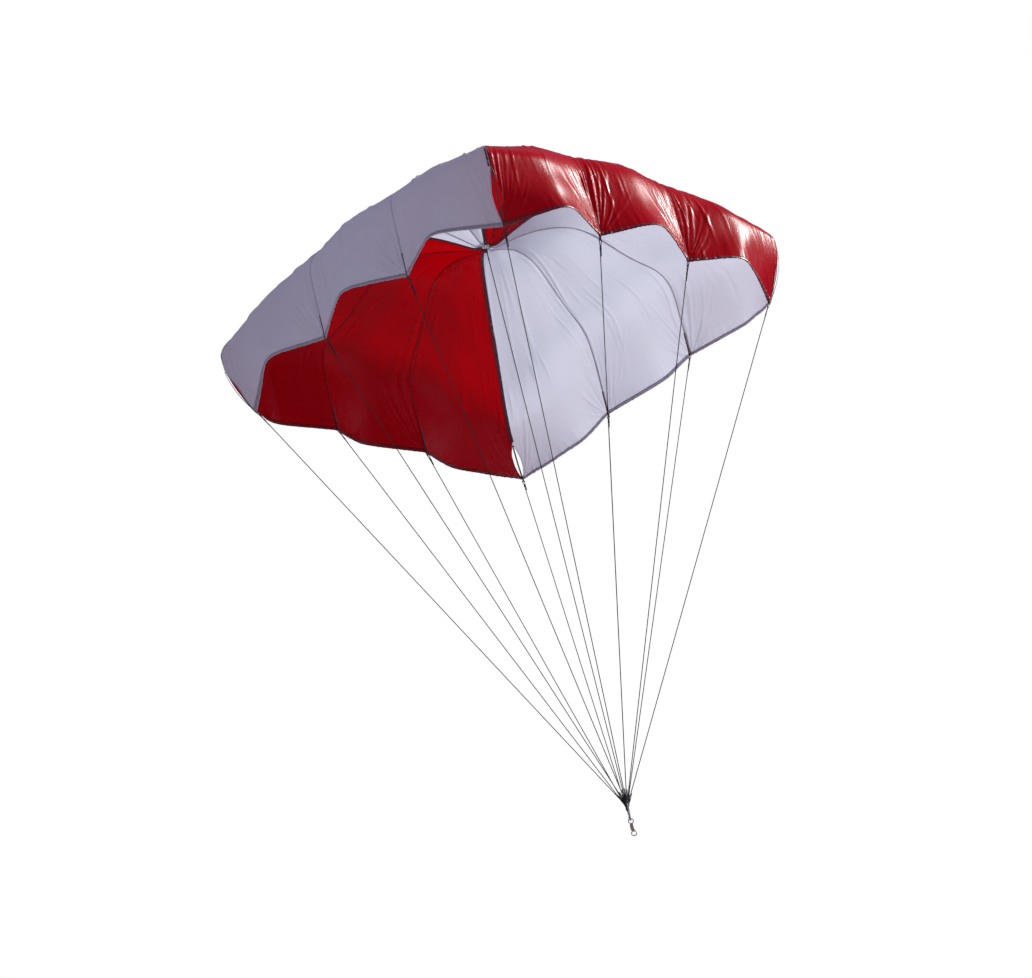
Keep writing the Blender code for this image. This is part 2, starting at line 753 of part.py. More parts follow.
def build_lines():
    cord = material("line_cord", (0.02, 0.02, 0.022), 0.75)
    places = bar_places()
    for index in range(GORE_COUNT):
        bottom = tab_loop_centre(index) + line_direction(index) * tab_loop_radius()
        line_tube(f"line_{point_name(index)}", bottom, seam_direction(index).cross(UP), places[index], cord)
    bottom = crown_loop_centre() - UP * tab_loop_radius()
    line_tube("line_crown", bottom, Vector((0.0, 1.0, 0.0)), places[GORE_COUNT], cord)


def build_hardware(canopy_pivot):
    steel = material("stainless_steel", (0.55, 0.55, 0.56), 0.25, 1.0)
    brass = material("nickel_brass", (0.50, 0.47, 0.42), 0.3, 1.0)
    bronze = material("bronze", (0.45, 0.28, 0.13), 0.4, 1.0)
    swivel_eye("tow_eye", 0.0, True, steel)
    swivel_barrel(brass)
    thrust_washer("lower_thrust_washer", BARREL_BOTTOM + BARREL_END_WALL, 1.0, bronze)
    thrust_washer("upper_thrust_washer", BARREL_TOP - BARREL_END_WALL, -1.0, bronze)
    swivel_eye("swivel_top_eye", TOP_EYE_HEIGHT, False, steel)
    hang("link_pivot", LINK_PIVOT, [delta_link(steel), link_sleeve(brass), canopy_pivot])


def shade_round_pieces():
    for made in PARTS.objects:
        if made.type == "MESH":
            shade_round(made.data)


clear_scene()
PARTS = collection("canopy_kite")
HELPERS = collection("joined_shapes")
build_canopy()
build_lines()
build_hardware(hang("canopy_pivot", BAR_HEIGHT, list(PARTS.objects)))
shade_round_pieces()
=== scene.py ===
"""Looks of the canopy kite: cloth, hems, tapes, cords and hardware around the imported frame."""

import math

import bmesh
import bpy
import numpy as np
from mathutils import Matrix, Vector


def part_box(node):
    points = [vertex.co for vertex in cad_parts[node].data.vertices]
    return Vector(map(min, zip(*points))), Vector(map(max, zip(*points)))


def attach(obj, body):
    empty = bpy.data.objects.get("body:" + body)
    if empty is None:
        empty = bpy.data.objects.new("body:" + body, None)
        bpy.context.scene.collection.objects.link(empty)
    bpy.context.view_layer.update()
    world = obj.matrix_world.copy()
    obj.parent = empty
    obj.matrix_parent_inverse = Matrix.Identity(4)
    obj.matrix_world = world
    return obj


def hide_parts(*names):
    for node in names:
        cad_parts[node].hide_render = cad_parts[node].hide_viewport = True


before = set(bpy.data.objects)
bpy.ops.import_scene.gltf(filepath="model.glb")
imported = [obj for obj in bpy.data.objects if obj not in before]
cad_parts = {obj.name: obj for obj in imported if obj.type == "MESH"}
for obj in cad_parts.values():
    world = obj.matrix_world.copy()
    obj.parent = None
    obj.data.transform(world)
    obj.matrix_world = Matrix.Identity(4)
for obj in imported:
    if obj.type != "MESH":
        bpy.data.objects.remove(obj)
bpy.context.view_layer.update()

# Canopy shape, as the frame has it
CORNER_RADIUS = 0.750
SIDE_BOW = 0.034
SIDE_LIFT = 0.036
APEX_RISE = 0.375
CORNER_SWELL = 0.110
SIDE_SWELL = 0.085
SWELL_START = 0.034
SWELL_PEAK = 0.300
SWELL_END = 0.88
CORNER_OVERHANG = 0.066
CORNER_SHOULDER = 0.194
CORNER_FULLNESS = 1.95
SIDE_OVERHANG = 0.001
SIDE_SHOULDER = 0.159
SIDE_FULLNESS = 4.7
HEM_REACH = 0.0765
HEM_RISE = 0.033
HEM_FADE = 5.4
CREST_ROUNDING = 0.19
HEM_BILLOW = 0.084
CROWN_BILLOW = 0.104
CORNERS = 4
GORES_PER_SIDE = 3
GORE_COUNT = CORNERS * GORES_PER_SIDE
SLOT_START = 0.004
SLOT_LENGTH = 0.170
SLOT_WIDTH = 0.026
TIP_RADIUS = 0.012
SEAM_SAMPLES = 240

# Sewn sizes
CLOTH_THICKNESS = 0.0006
HEM_WIDTH = 0.010
HEM_STANDS_OFF = 0.0010
HEM_THICKNESS = 0.0007
HEM_STITCH_UP = 0.0078
TAPE_WIDTH = 0.012
TAPE_STANDS_OFF = 0.0011
TAPE_THICKNESS = 0.0007
FELL_WIDTH = 0.004
FELL_STANDS_OFF = 0.0008
FELL_THICKNESS = 0.0005
TAPE_STITCH_INSET = 0.0012
FELL_STITCH_APART = 0.0008
STRIP_STEP = 0.006
STITCH_STEP = 0.004
BINDING_RADIUS = 0.0011
BINDING_SIDES = 10
PATCH_STANDS_OFF = 0.0022
PATCH_THICKNESS = 0.0009
PATCH_STITCH_HEIGHT = 0.0028
TAB_WIDTH = 0.004
TAB_THICKNESS = 0.0010
TAB_DROP = 0.012
BAR_TACK_RADIUS = 0.0003
SIDE_TAB_LENGTH = 0.075
CORNER_TAB_SHORT = 0.012
TAB_OUTSIDE = 0.0034
TAB_INSIDE = 0.0031
TAB_ON_CLOTH = 0.0021
TAB_HEM_STEP = 0.0006
STITCH_PITCH = 0.0042
STITCH_RADIUS = 0.00035
STITCH_SIDES = 4
STITCH_PHASES = (0.05, 0.22, 0.5, 0.78)
STITCH_LIFTS = (-1.3, 0.4, 0.8, 0.4)

# Lines and link
LINE_DIAMETER = 0.0025
LINE_SIDES = 12
LINE_STEP = 0.05
EYE_THROAT = 0.014
EYE_TAIL = 0.030
WHIPPING_PAST_EYE = 0.003
WHIPPING_TURNS = 9
WHIPPING_LENGTH = 0.010
LINK_WIRE = 0.0040
TOUCH_GAP = 0.0003
LINE_PITCH = LINE_DIAMETER + 2 * TOUCH_GAP
LINE_COUNT = GORE_COUNT + 1
BAR_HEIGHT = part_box("delta_link")[1].z - LINK_WIRE / 2
LINE_DROP = 1.449
SKIRT_HEIGHT = BAR_HEIGHT + LINE_DROP

# Folds in the cloth
FAN_FOLDS = 13
FAN_HEIGHT = 0.0066
FAN_REACH = 0.36
GATHER_PITCH = 0.0135
GATHER_HEIGHT = 0.0028
PUCKER_PITCH = 0.015
PUCKER_HEIGHT = 0.0020
LONG_FOLDS = 34
LONG_FOLD_HEIGHT = 0.0040
FULLNESS_HEIGHT = 0.0035
FULLNESS_WAVES = 7
FOLD_SEED = 40
HEM_SEED = 90
HEM_PUCKER_PITCH = 0.0075
HEM_PUCKER_WIDTH = 0.0022

UP = np.array([0.0, 0.0, 1.0])
CORNER_NAMES = ("front", "right", "back", "left")
QUADRANT_NAMES = ("front_right", "back_right", "back_left", "front_left")
CANOPY = "canopy"


# ---------------------------------------------------------------- shader maths


class Value:
    """A number socket in a node tree. Arithmetic on it adds the Math nodes."""

    def __init__(self, paint, socket):
        self.paint = paint
        self.socket = socket

    def maths(self, operation, *others):
        return self.paint.node("ShaderNodeMath", {"operation": operation}, [self, *others])

    def __add__(self, other):
        return self.maths("ADD", other)

    def __sub__(self, other):
        return self.maths("SUBTRACT", other)

    def __mul__(self, other):
        return self.maths("MULTIPLY", other)

    def __truediv__(self, other):
        return self.maths("DIVIDE", other)

    def fraction(self):
        return self.maths("FRACT")

    def size(self):
        return self.maths("ABSOLUTE")

    def sine(self):
        return self.maths("SINE")

    def highest(self, other):
        return self.maths("MAXIMUM", other)

    def clamped(self):
        return self.maths("MAXIMUM", 0.0).maths("MINIMUM", 1.0)


class Paint:
    """A material under construction: its node tree, its shader and the values that drive them."""

    def __init__(self, name, **sockets):
        self.material = bpy.data.materials.new(name)
        self.material.use_nodes = True
        self.nodes = self.material.node_tree.nodes
        self.links = self.material.node_tree.links
        self.shader = self.nodes["Principled BSDF"]
        self.output = self.nodes["Material Output"]
        for socket, value in sockets.items():
            self.shader.inputs[socket.replace("_", " ")].default_value = value

    def node(self, kind, settings=None, inputs=(), output=0):
        """One node: its settings first, then the values or links of its inputs, by place or by name."""
        made = self.nodes.new(kind)
        for key, value in (settings or {}).items():
            setattr(made, key, value)
        named = inputs.items() if isinstance(inputs, dict) else enumerate(inputs)
        for key, value in named:
            if isinstance(value, Value):
                self.links.new(value.socket, made.inputs[key])
            elif value is not None:
                made.inputs[key].default_value = value
        return Value(self, made.outputs[output])

    def drive(self, socket, value):
        self.links.new(value.socket, self.shader.inputs[socket])

    def mix(self, share, first, second):
        """A colour between two others."""
        inputs = {0: share}
        for place, colour in ((6, first), (7, second)):
            inputs[place] = colour if isinstance(colour, Value) else (*colour, 1.0)
        return self.node("ShaderNodeMix", {"data_type": "RGBA"}, inputs, output=2)

    def along(self, axis, source="Object"):
        """One coordinate of a piece's own space or of its cloth map."""
        where = self.node("ShaderNodeTexCoord", output=source)
        return self.node("ShaderNodeSeparateXYZ", None, [where], output=axis)

    def place(self, source="Object", scale=(1.0, 1.0, 1.0)):
        where = self.node("ShaderNodeTexCoord", output=source)
        return self.node("ShaderNodeMapping", None, {"Vector": where, "Scale": scale})

    def noise(self, scale, detail=3.0, source="Object", stretch=(1.0, 1.0, 1.0)):
        inputs = {"Vector": self.place(source, stretch), "Scale": scale, "Detail": detail}
        return self.node("ShaderNodeTexNoise", None, inputs)

    def relief(self, height, distance):
        """A bump from a height between 0 and 1, which stands distance metres high."""
        inputs = {"Strength": 1.0, "Distance": distance, "Height": height}
        bump = self.node("ShaderNodeBump", None, inputs)
        self.drive("Normal", bump)
        return bump

    def let_light_through(self, colour, share, bump):
        """Mixes in light that comes from behind a thin cloth."""
        glow = self.nodes.new("ShaderNodeBsdfTranslucent")
        glow.inputs["Color"].default_value = (*colour, 1.0)
        self.links.new(bump.socket, glow.inputs["Normal"])
        both = self.nodes.new("ShaderNodeMixShader")
        both.inputs["Fac"].default_value = share
        self.links.new(self.shader.outputs["BSDF"], both.inputs[1])
        self.links.new(glow.outputs["BSDF"], both.inputs[2])
        self.links.new(both.outputs["Shader"], self.output.inputs["Surface"])


# ---------------------------------------------------------------- finishes

RIPSTOP_GRID = 0.005
RIPSTOP_THREAD = 0.10
BRAID_STRANDS = 4
BRAID_PITCH = 0.0042
THREAD_TWIST = 0.0009
CLOTH_SPECULAR = 0.085
COAT_ROUGHNESS = 0.22


def ripstop_lines(paint):
    """1 on the thick threads that cross the cloth every few millimetres, 0 between them."""
    lines = None
    for axis in ("X", "Y"):
        cell = (paint.along(axis, "UV") / RIPSTOP_GRID).fraction()
        line = (((cell - 0.5).size() - (0.5 - RIPSTOP_THREAD)) / RIPSTOP_THREAD).clamped()
        lines = line if lines is None else lines.highest(line)
    return lines


def cloth(name, colour, shade, glow, share, roughness, coat):
    """Coated rip-stop nylon that lets some light through."""
    paint = Paint(name, Roughness=roughness)
    paint.shader.inputs["Specular IOR Level"].default_value = CLOTH_SPECULAR
    paint.shader.inputs["Coat Weight"].default_value = coat
    paint.shader.inputs["Coat Roughness"].default_value = COAT_ROUGHNESS
    lines = ripstop_lines(paint)
    cloudy = paint.noise(3.5, 4.0)
    fine = paint.noise(260.0, 2.0)
    tone = paint.mix((cloudy * 1.6 - 0.3).clamped(), shade, colour)
    tone = paint.mix(lines * 0.22, tone, shade)
    paint.drive("Base Color", tone)
    paint.drive("Roughness", fine * 0.12 + (roughness - 0.06))
    crumple = paint.noise(70.0, 4.0, stretch=(1.0, 1.0, 0.45))
    bump = paint.relief(crumple * 0.8 + lines * 0.10 + fine * 0.05, 0.0007)
    paint.let_light_through(glow, share, bump)
    return paint.material


def hem_cloth(name, colour, shade, glow, share, roughness):
    """The same cloth folded double, so that less light comes through."""
    paint = Paint(name, Roughness=roughness)
    lines = ripstop_lines(paint)
    worn = paint.noise(90.0, 4.0)
    tone = paint.mix((worn * 1.8 - 0.5).clamped(), shade, colour)
    paint.drive("Base Color", paint.mix(lines * 0.3, tone, shade))
    paint.drive("Roughness", worn * 0.2 + (roughness - 0.1))
    bump = paint.relief(worn * 0.6 + lines * 0.3, 0.0004)
    paint.let_light_through(glow, share, bump)
    return paint.material


def woven_tape(name, colour, shade, pitch, roughness):
    """Narrow woven tape, with threads slanting both ways across it, and painted shade darker between
    the threads.
    """
    paint = Paint(name, Roughness=roughness)
    across = paint.along("X", "UV")
    length = paint.along("Y", "UV")
    rising = ((across + length) * (2 * math.pi / pitch)).sine() * 0.5 + 0.5
    falling = ((length - across) * (2 * math.pi / pitch)).sine() * 0.5 + 0.5
    weave = rising.highest(falling)
    faded = paint.noise(40.0, 3.0)
    # Painted shade: the colour darkens between the threads where the weave is low, mixed with random
    # fading.
    tone = paint.mix(weave * 0.7 + faded * 0.3, shade, colour)
    paint.drive("Base Color", tone)
    paint.drive("Roughness", faded * 0.2 + (roughness - 0.1))
    paint.relief(weave, pitch * 0.25)
    return paint.material


def braided_cord(name, colour, shade):
    """Round cord: strands cross each other all the way along, with painted shade darker in the gaps
    between them.
    """
    paint = Paint(name, Roughness=0.62)
    around = paint.along("X", "UV")
    length = paint.along("Y", "UV")
    turn = around * (2 * math.pi * BRAID_STRANDS)
    along = length * (2 * math.pi / BRAID_PITCH)
    strands = (turn + along).sine().highest((turn - along).sine()) * 0.5 + 0.5
    fuzz = paint.noise(900.0, 2.0)
    # Painted shade: the colour darkens in the gaps between the strands, mixed with random fuzz.
    paint.drive("Base Color", paint.mix(strands * 0.8 + fuzz * 0.2, shade, colour))
    paint.drive("Roughness", fuzz * 0.2 + 0.52)
    paint.relief(strands * 0.85 + fuzz * 0.15, 0.0003)
    return paint.material


def thread(name, colour):
    """Sewing thread, with painted shade darker between the turns of its twist."""
    paint = Paint(name, Roughness=0.5)
    slant = paint.along("X") + paint.along("Z") * 1.7
    twist = (slant * (2 * math.pi / THREAD_TWIST)).sine() * 0.5 + 0.5
    # Painted shade: the colour drops to 0.6 of itself in the grooves between the turns of the twist.
    paint.drive("Base Color", paint.mix(twist, tuple(0.6 * part for part in colour), colour))
    paint.relief(twist, 0.0001)
    return paint.material


def metal(name, colour, shade, roughness, scratch_stretch):
    """Worn metal: fine scratches one way, and duller patches where it is handled."""
    paint = Paint(name, Metallic=1.0, Roughness=roughness)
    scratches = paint.noise(900.0, 2.0, stretch=scratch_stretch)
    patches = paint.noise(160.0, 4.0)
    paint.drive("Base Color", paint.mix((patches * 1.7 - 0.4).clamped(), shade, colour))
    paint.drive("Roughness", patches * 0.22 + scratches * 0.12 + (roughness - 0.15))
    paint.relief(scratches * 0.6 + patches * 0.4, 0.00006)
    return paint.material


def backdrop(name, colour):
    paint = Paint(name, Roughness=0.9)
    paint.shader.inputs["Base Color"].default_value = (*colour, 1.0)
    return paint.material


WHITE_CLOTH = cloth(
    "white_ripstop", (0.82, 0.83, 0.88), (0.70, 0.70, 0.78), (0.91, 0.95, 1.0), 0.54, 0.42, 0.05
)
RED_CLOTH = cloth(
    "red_ripstop", (0.56, 0.001, 0.012), (0.42, 0.001, 0.014), (0.92, 0.002, 0.024), 0.44, 0.27, 0.018
)
WHITE_HEM = hem_cloth(
    "white_hem_cloth", (0.60, 0.58, 0.60), (0.44, 0.42, 0.45), (0.95, 0.94, 0.98), 0.68, 0.5
)
RED_HEM = hem_cloth(
    "red_hem_cloth", (0.30, 0.004, 0.012), (0.13, 0.002, 0.009), (0.40, 0.003, 0.012), 0.20, 0.34
)
WHITE_FELL = hem_cloth(
    "white_seam_cloth", (0.78, 0.78, 0.84), (0.66, 0.65, 0.74), (0.96, 0.96, 1.0), 0.60, 0.45
)
RED_FELL = hem_cloth(
    "red_seam_cloth", (0.50, 0.004, 0.014), (0.38, 0.002, 0.014), (0.95, 0.008, 0.03), 0.55, 0.34
)
SEAM_TAPE = woven_tape("mauve_seam_tape", (0.17, 0.050, 0.070), (0.085, 0.026, 0.040), 0.0016, 0.6)
WEBBING = woven_tape("dark_webbing", (0.13, 0.045, 0.070), (0.050, 0.020, 0.032), 0.0013, 0.7)
CORD = braided_cord("black_braided_cord", (0.012, 0.012, 0.014), (0.003, 0.003, 0.004))
PALE_THREAD = thread("pale_thread", (0.74, 0.73, 0.78))
DARK_THREAD = thread("dark_thread", (0.055, 0.022, 0.032))
RED_THREAD = thread("red_thread", (0.34, 0.010, 0.020))
GREY_THREAD = thread("grey_thread", (0.34, 0.33, 0.36))
STEEL = metal("brushed_steel", (0.62, 0.62, 0.64), (0.42, 0.42, 0.44), 0.30, (1.0, 1.0, 0.06))
PLATED_BRASS = metal("plated_brass", (0.66, 0.58, 0.44), (0.44, 0.36, 0.24), 0.34, (1.0, 1.0, 0.08))
BRONZE = metal("bronze", (0.45, 0.28, 0.13), (0.28, 0.16, 0.07), 0.42, (1.0, 1.0, 0.2))


# ---------------------------------------------------------------- canopy surface


def line_point(index):
    """One of the twelve points where a line meets the hem, counted from the front corner."""
    side, step = divmod(index % GORE_COUNT, GORES_PER_SIDE)
    start, end = (
        np.array([math.cos(angle), math.sin(angle), 0.0]) * CORNER_RADIUS
        for angle in (math.pi / 2 * (side - 1), math.pi / 2 * side)
    )
    point = start + (end - start) * step / GORES_PER_SIDE + UP * SKIRT_HEIGHT
    if step:
        middle = start + end
        point = point + middle / np.linalg.norm(middle) * SIDE_BOW + UP * SIDE_LIFT
    return point


def seam_direction(index):
    """The level direction from the canopy's axis to a line point."""
    point = line_point(index) * (1.0, 1.0, 0.0)
    return point / np.linalg.norm(point)


def seam_profile(index):
    """Radius, height and arc length along a seam, from its line point over the shoulder to the apex."""
    corner = index % GORES_PER_SIDE == 0
    overhang = CORNER_OVERHANG if corner else SIDE_OVERHANG
    shoulder = CORNER_SHOULDER if corner else SIDE_SHOULDER
    power = 2.0 / (CORNER_FULLNESS if corner else SIDE_FULLNESS)
    point = line_point(index)
    start = math.hypot(point[0], point[1])
    shoulder_height = SKIRT_HEIGHT + shoulder
    below = np.linspace(1.0, 0.0, SEAM_SAMPLES // 4)
    turn = math.pi / 2 * (1.0 - np.linspace(1.0, 0.0, SEAM_SAMPLES)[1:] ** 2)
    radius = np.concatenate([
        start + overhang * (1.0 - below**2),
        (start + overhang) * np.abs(np.cos(turn)) ** power,
    ])
    height = np.concatenate([
        shoulder_height + (point[2] - shoulder_height) * below,
        shoulder_height + (APEX_RISE - shoulder) * np.sin(turn) ** power,
    ])
    radius[-1] = 0.0
    height[len(below):] += crown_swell(radius[len(below):], start + overhang, corner)
    steps = np.hypot(np.diff(radius), np.diff(height))
    return radius, height, np.concatenate([[0.0], np.cumsum(steps)])


def crown_swell(radius, reach, corner):
    """How far a seam swells up round the apex, which the crown line holds down."""
    climb = np.clip((radius - SWELL_START) / (SWELL_PEAK - SWELL_START), 0.0, 1.0)
    fall = np.clip((radius - SWELL_PEAK) / (reach * SWELL_END - SWELL_PEAK), 0.0, 1.0)
    shape = np.sin(math.pi / 2 * climb) * np.cos(math.pi / 2 * fall) ** 2
    return (CORNER_SWELL if corner else SIDE_SWELL) * shape


SEAMS = [seam_profile(index) for index in range(GORE_COUNT)]


def seam_length(index):
    return SEAMS[index % GORE_COUNT][2][-1]


def seam_points(index, shares):
    """Points at shares of a seam's arc length, 0 at the hem and 1 at the apex."""
    radius, height, arc = SEAMS[index % GORE_COUNT]
    out = seam_direction(index)
    wanted = np.asarray(shares) * arc[-1]
    level = np.interp(wanted, arc, radius)
    return np.stack([out[0] * level, out[1] * level, np.interp(wanted, arc, height)], axis=-1)


def lobe(across):
    """How far a lobe stands out, 0 at its two seams and 1 at its crest."""
    offset = np.abs(2.0 * across - 1.0)
    edge = math.hypot(1.0, CREST_ROUNDING) - CREST_ROUNDING
    return 1.0 - (np.hypot(offset, CREST_ROUNDING) - CREST_ROUNDING) / edge


def side_outward(gore):
    """The level direction that faces out of the side that holds this gore."""
    angle = math.pi / 2 * (gore // GORES_PER_SIDE - 0.5)
    return np.array([math.cos(angle), math.sin(angle), 0.0])


def unit(vectors):
    return vectors / np.maximum(np.linalg.norm(vectors, axis=-1, keepdims=True), 1e-12)


def smooth_surface(gore, across, rise):
    """Points of a gore before its folds, for rows of rise and, in each row, shares across."""
    first = seam_points(gore, rise)
    chord = seam_points(gore + 1, rise) - first
    width = np.linalg.norm(chord, axis=1, keepdims=True)
    along = np.gradient(first + chord / 2, axis=0)
    outward = unit(np.cross(chord, along))
    share = rise[:, None]
    billow = width * (HEM_BILLOW + (CROWN_BILLOW - HEM_BILLOW) * share) * share
    arch = side_outward(gore) * HEM_REACH + UP * HEM_RISE
    stand_out = outward * billow + arch * (1.0 - share) ** HEM_FADE
    sheet = first[:, None] + chord[:, None] * across[..., None]
    return sheet + stand_out[:, None] * lobe(across)[..., None]


def surface_normals(points):
    """Unit vectors out of the canopy at each point of a grid with rows going up and columns across."""
    across = np.gradient(points, axis=1)
    up = np.gradient(points, axis=0)
    return unit(np.cross(across, up))


# ---------------------------------------------------------------- folds in the cloth


def ridge(distance, width):
    """Height of a fold across its width, 1 at its crest."""
    return np.exp(-((distance / width) ** 2))


def fan_folds(beside, above, draw):
    """Tension folds that spread up the cloth from a line point at the foot of a seam."""
    distance = np.hypot(beside, above) + 1e-6
    bearing = np.arctan2(beside, above)
    height = np.zeros_like(distance)
    for step in range(FAN_FOLDS):
        share = step / (FAN_FOLDS - 1)
        start = math.radians(3.0 + 66.0 * share) + draw.uniform(-0.045, 0.045)
        reach = FAN_REACH * (1.15 - 0.75 * share) * draw.uniform(0.6, 1.15)
        bend = draw.uniform(0.15, 0.5)
        crest = start * (1.0 - bend * np.minimum(distance / reach, 1.0))
        width = draw.uniform(0.0012, 0.0020) + 0.020 * distance
        fade = distance / (distance + 0.045) * np.clip(1.0 - distance / reach, 0.0, 1.0) ** 1.1
        height += draw.uniform(0.35, 1.0) * ridge((bearing - crest) * distance, width) * fade
    return height * FAN_HEIGHT


def gathers(along_hem, above, hem_length, draw):
    """Short folds that run up from the sewn hem."""
    height = np.zeros_like(above)
    place = GATHER_PITCH / 2
    while place < hem_length:
        reach = draw.uniform(0.010, 0.045)
        lean = draw.uniform(-0.25, 0.25)
        width = draw.uniform(0.0022, 0.0042)
        fold = ridge(along_hem - place - lean * above, width + 0.08 * above)
        height += draw.uniform(0.4, 1.0) * fold * np.exp(-above / reach)
        place += GATHER_PITCH * draw.uniform(0.6, 1.4)
    return height * GATHER_HEIGHT


def puckers(beside, above, length, draw):
    """Small folds square to a sewn seam, which die out beside it."""
    height = np.zeros_like(above)
    place = 0.02
    while place < length:
        reach = draw.uniform(0.008, 0.022)
        lean = draw.uniform(-0.5, 0.9)
        fold = ridge(above - place - lean * beside, draw.uniform(0.0030, 0.0048))
        height += draw.uniform(0.3, 1.0) * fold * np.exp(-beside / reach)
        place += PUCKER_PITCH * draw.uniform(0.6, 1.5)
    return height * PUCKER_HEIGHT


def long_folds(beside, above, width, length, draw):
    """Folds along the gore over its shoulder, where the cloth is a little full."""
    height = np.zeros_like(above)
    for _ in range(LONG_FOLDS):
        side = draw.uniform(0.0, 1.0)
        share = side**1.6 / 2
        if draw.random() < 0.5:
            share = 1.0 - share
        middle = draw.uniform(0.16, 0.62) * length
        half = draw.uniform(0.035, 0.12)
        lean = draw.uniform(-0.12, 0.12)
        offset = beside - share * width - lean * (above - middle)
        fold = ridge(offset, draw.uniform(0.0028, 0.0055)) * ridge(above - middle, half)
        height += draw.uniform(-0.4, 1.0) * fold
    return height * LONG_FOLD_HEIGHT


def swell(beside, above, draw):
    """Slow, uneven fullness over the whole gore."""
    height = np.zeros_like(above)
    for _ in range(FULLNESS_WAVES):
        turn = draw.uniform(0.0, math.pi)
        wave = draw.uniform(0.09, 0.26)
        phase = draw.uniform(0.0, 2 * math.pi)
        run = beside * math.cos(turn) + above * math.sin(turn)
        height += np.sin(run * 2 * math.pi / wave + phase) / FULLNESS_WAVES
    return height * FULLNESS_HEIGHT


def fold_height(gore, across, rise, strength):
    """How far the cloth stands off its smooth surface."""
    length = (seam_length(gore) + seam_length(gore + 1)) / 2
    chord = seam_points(gore + 1, rise) - seam_points(gore, rise)
    width = np.linalg.norm(chord, axis=1)[:, None] * np.ones_like(across)
    hem_length = width[0, 0] * 1.17
    left = across * width
    right = (1.0 - across) * width
    above = (rise * length)[:, None] * np.ones_like(across)
    draw = np.random.default_rng(FOLD_SEED + gore)
    height = fan_folds(left, above, draw)
    height += fan_folds(right, above, draw)
    height += gathers(across * hem_length, above, hem_length, draw)
    height += puckers(left, above, length, draw)
    height += puckers(right, above, length, draw)
    height += long_folds(left, above, width, length, draw)
    height += swell(left, above, draw)
    beside = np.minimum(left, right)
    return strength * height * beside / (beside + 0.004) * np.clip(width / 0.06, 0.0, 1.0)


FOLD_STRENGTH = {"front_right": 0.85, "back_right": 1.1, "back_left": 0.75, "front_left": 1.15}


def slot_half_width(rise, length):
    """Half the width of the corner slot at shares up a corner seam."""
    share = np.clip((rise * length - SLOT_START) / SLOT_LENGTH, 0.0, 1.0)
    return SLOT_WIDTH / 2 * np.sin(math.pi * share)


def cut_shares(gore, across, rise):
    """Shares across a gore, squeezed between the edges that its corner slots leave."""
    width = np.linalg.norm(seam_points(gore + 1, rise) - seam_points(gore, rise), axis=1)
    cut = [np.zeros_like(rise), np.zeros_like(rise)]
    for edge, seam in enumerate((gore, gore + 1)):
        if seam % GORES_PER_SIDE == 0:
            cut[edge] = slot_half_width(rise, seam_length(seam)) / np.maximum(width, 1e-6)
    left, right = cut
    return left[:, None] + across * (1.0 - left - right)[:, None]


def cloth_surface(gore, across, rise):
    """Points of a gore's cloth with its folds, and the unit vectors out of it."""
    shares = cut_shares(gore, np.broadcast_to(across, (len(rise), np.shape(across)[-1])), rise)
    points = smooth_surface(gore, shares, rise)
    quadrant = QUADRANT_NAMES[gore % GORE_COUNT // GORES_PER_SIDE]
    height = fold_height(gore, shares, rise, FOLD_STRENGTH[quadrant])
    points = points + surface_normals(points) * height[..., None]
    return points, surface_normals(points)


# ---------------------------------------------------------------- mesh work

MERGE_DISTANCE = 1e-6


def mesh_from(name, shape):
    data = bpy.data.meshes.new(name)
    shape.to_mesh(data)
    shape.free()
    return data


def link_piece(name, data, finish):
    """A new piece that rides on the canopy."""
    made = bpy.data.objects.new(name, data)
    bpy.context.scene.collection.objects.link(made)
    data.materials.append(finish)
    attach(made, CANOPY)
    return made


def grid_piece(name, points, finish, cloth_map=None):
    """A sheet made from an operator's grid, laid on rows and columns of points."""
    rows, columns = points.shape[:2]
    shape = bmesh.new()
    bmesh.ops.create_grid(
        shape, x_segments=columns - 1, y_segments=rows - 1, size=0.5, calc_uvs=True
    )
    data = mesh_from(name, shape)
    flat = np.empty(len(data.vertices) * 3, np.float32)
    data.vertices.foreach_get("co", flat)
    flat = flat.reshape(-1, 3)
    column = np.rint((flat[:, 0] + 0.5) * (columns - 1)).astype(int)
    row = np.rint((flat[:, 1] + 0.5) * (rows - 1)).astype(int)
    data.vertices.foreach_set("co", points[row, column].astype(np.float32).ravel())
    corner = np.empty(len(data.loops), np.int32)
    data.loops.foreach_get("vertex_index", corner)
    if cloth_map is None:
        step = np.linalg.norm(np.diff(points, axis=1), axis=2).mean(axis=0)
        up = np.linalg.norm(np.diff(points, axis=0), axis=2).mean(axis=1)
        across = np.concatenate([[0.0], np.cumsum(step)])
        along = np.concatenate([[0.0], np.cumsum(up)])
        cloth_map = np.stack(np.broadcast_arrays(across[None, :], along[:, None]), axis=-1)
    layer = data.uv_layers.active or data.uv_layers.new(name="cloth")
    layer.data.foreach_set("uv", cloth_map[row, column][corner].astype(np.float32).ravel())
    data.shade_smooth()
    data.update()
    return link_piece(name, data, finish)


def thicken(piece, thickness):
    """Gives a sheet its thickness, half on each side."""
    shell = piece.modifiers.new("thickness", "SOLIDIFY")
    shell.thickness = thickness
    shell.offset = 0.0
    return piece


def arc_lengths(points):
    """How far each point of a line is along it."""
    return np.concatenate([[0.0], np.cumsum(np.linalg.norm(np.diff(points, axis=0), axis=1))])


def evened(points, step):
    """A path with its points spaced evenly, about step apart."""
    arc = arc_lengths(points)
    count = max(2, int(round(arc[-1] / step)) + 1)
    at = np.linspace(0.0, arc[-1], count)
    return np.stack([np.interp(at, arc, points[:, axis]) for axis in range(3)], axis=1)


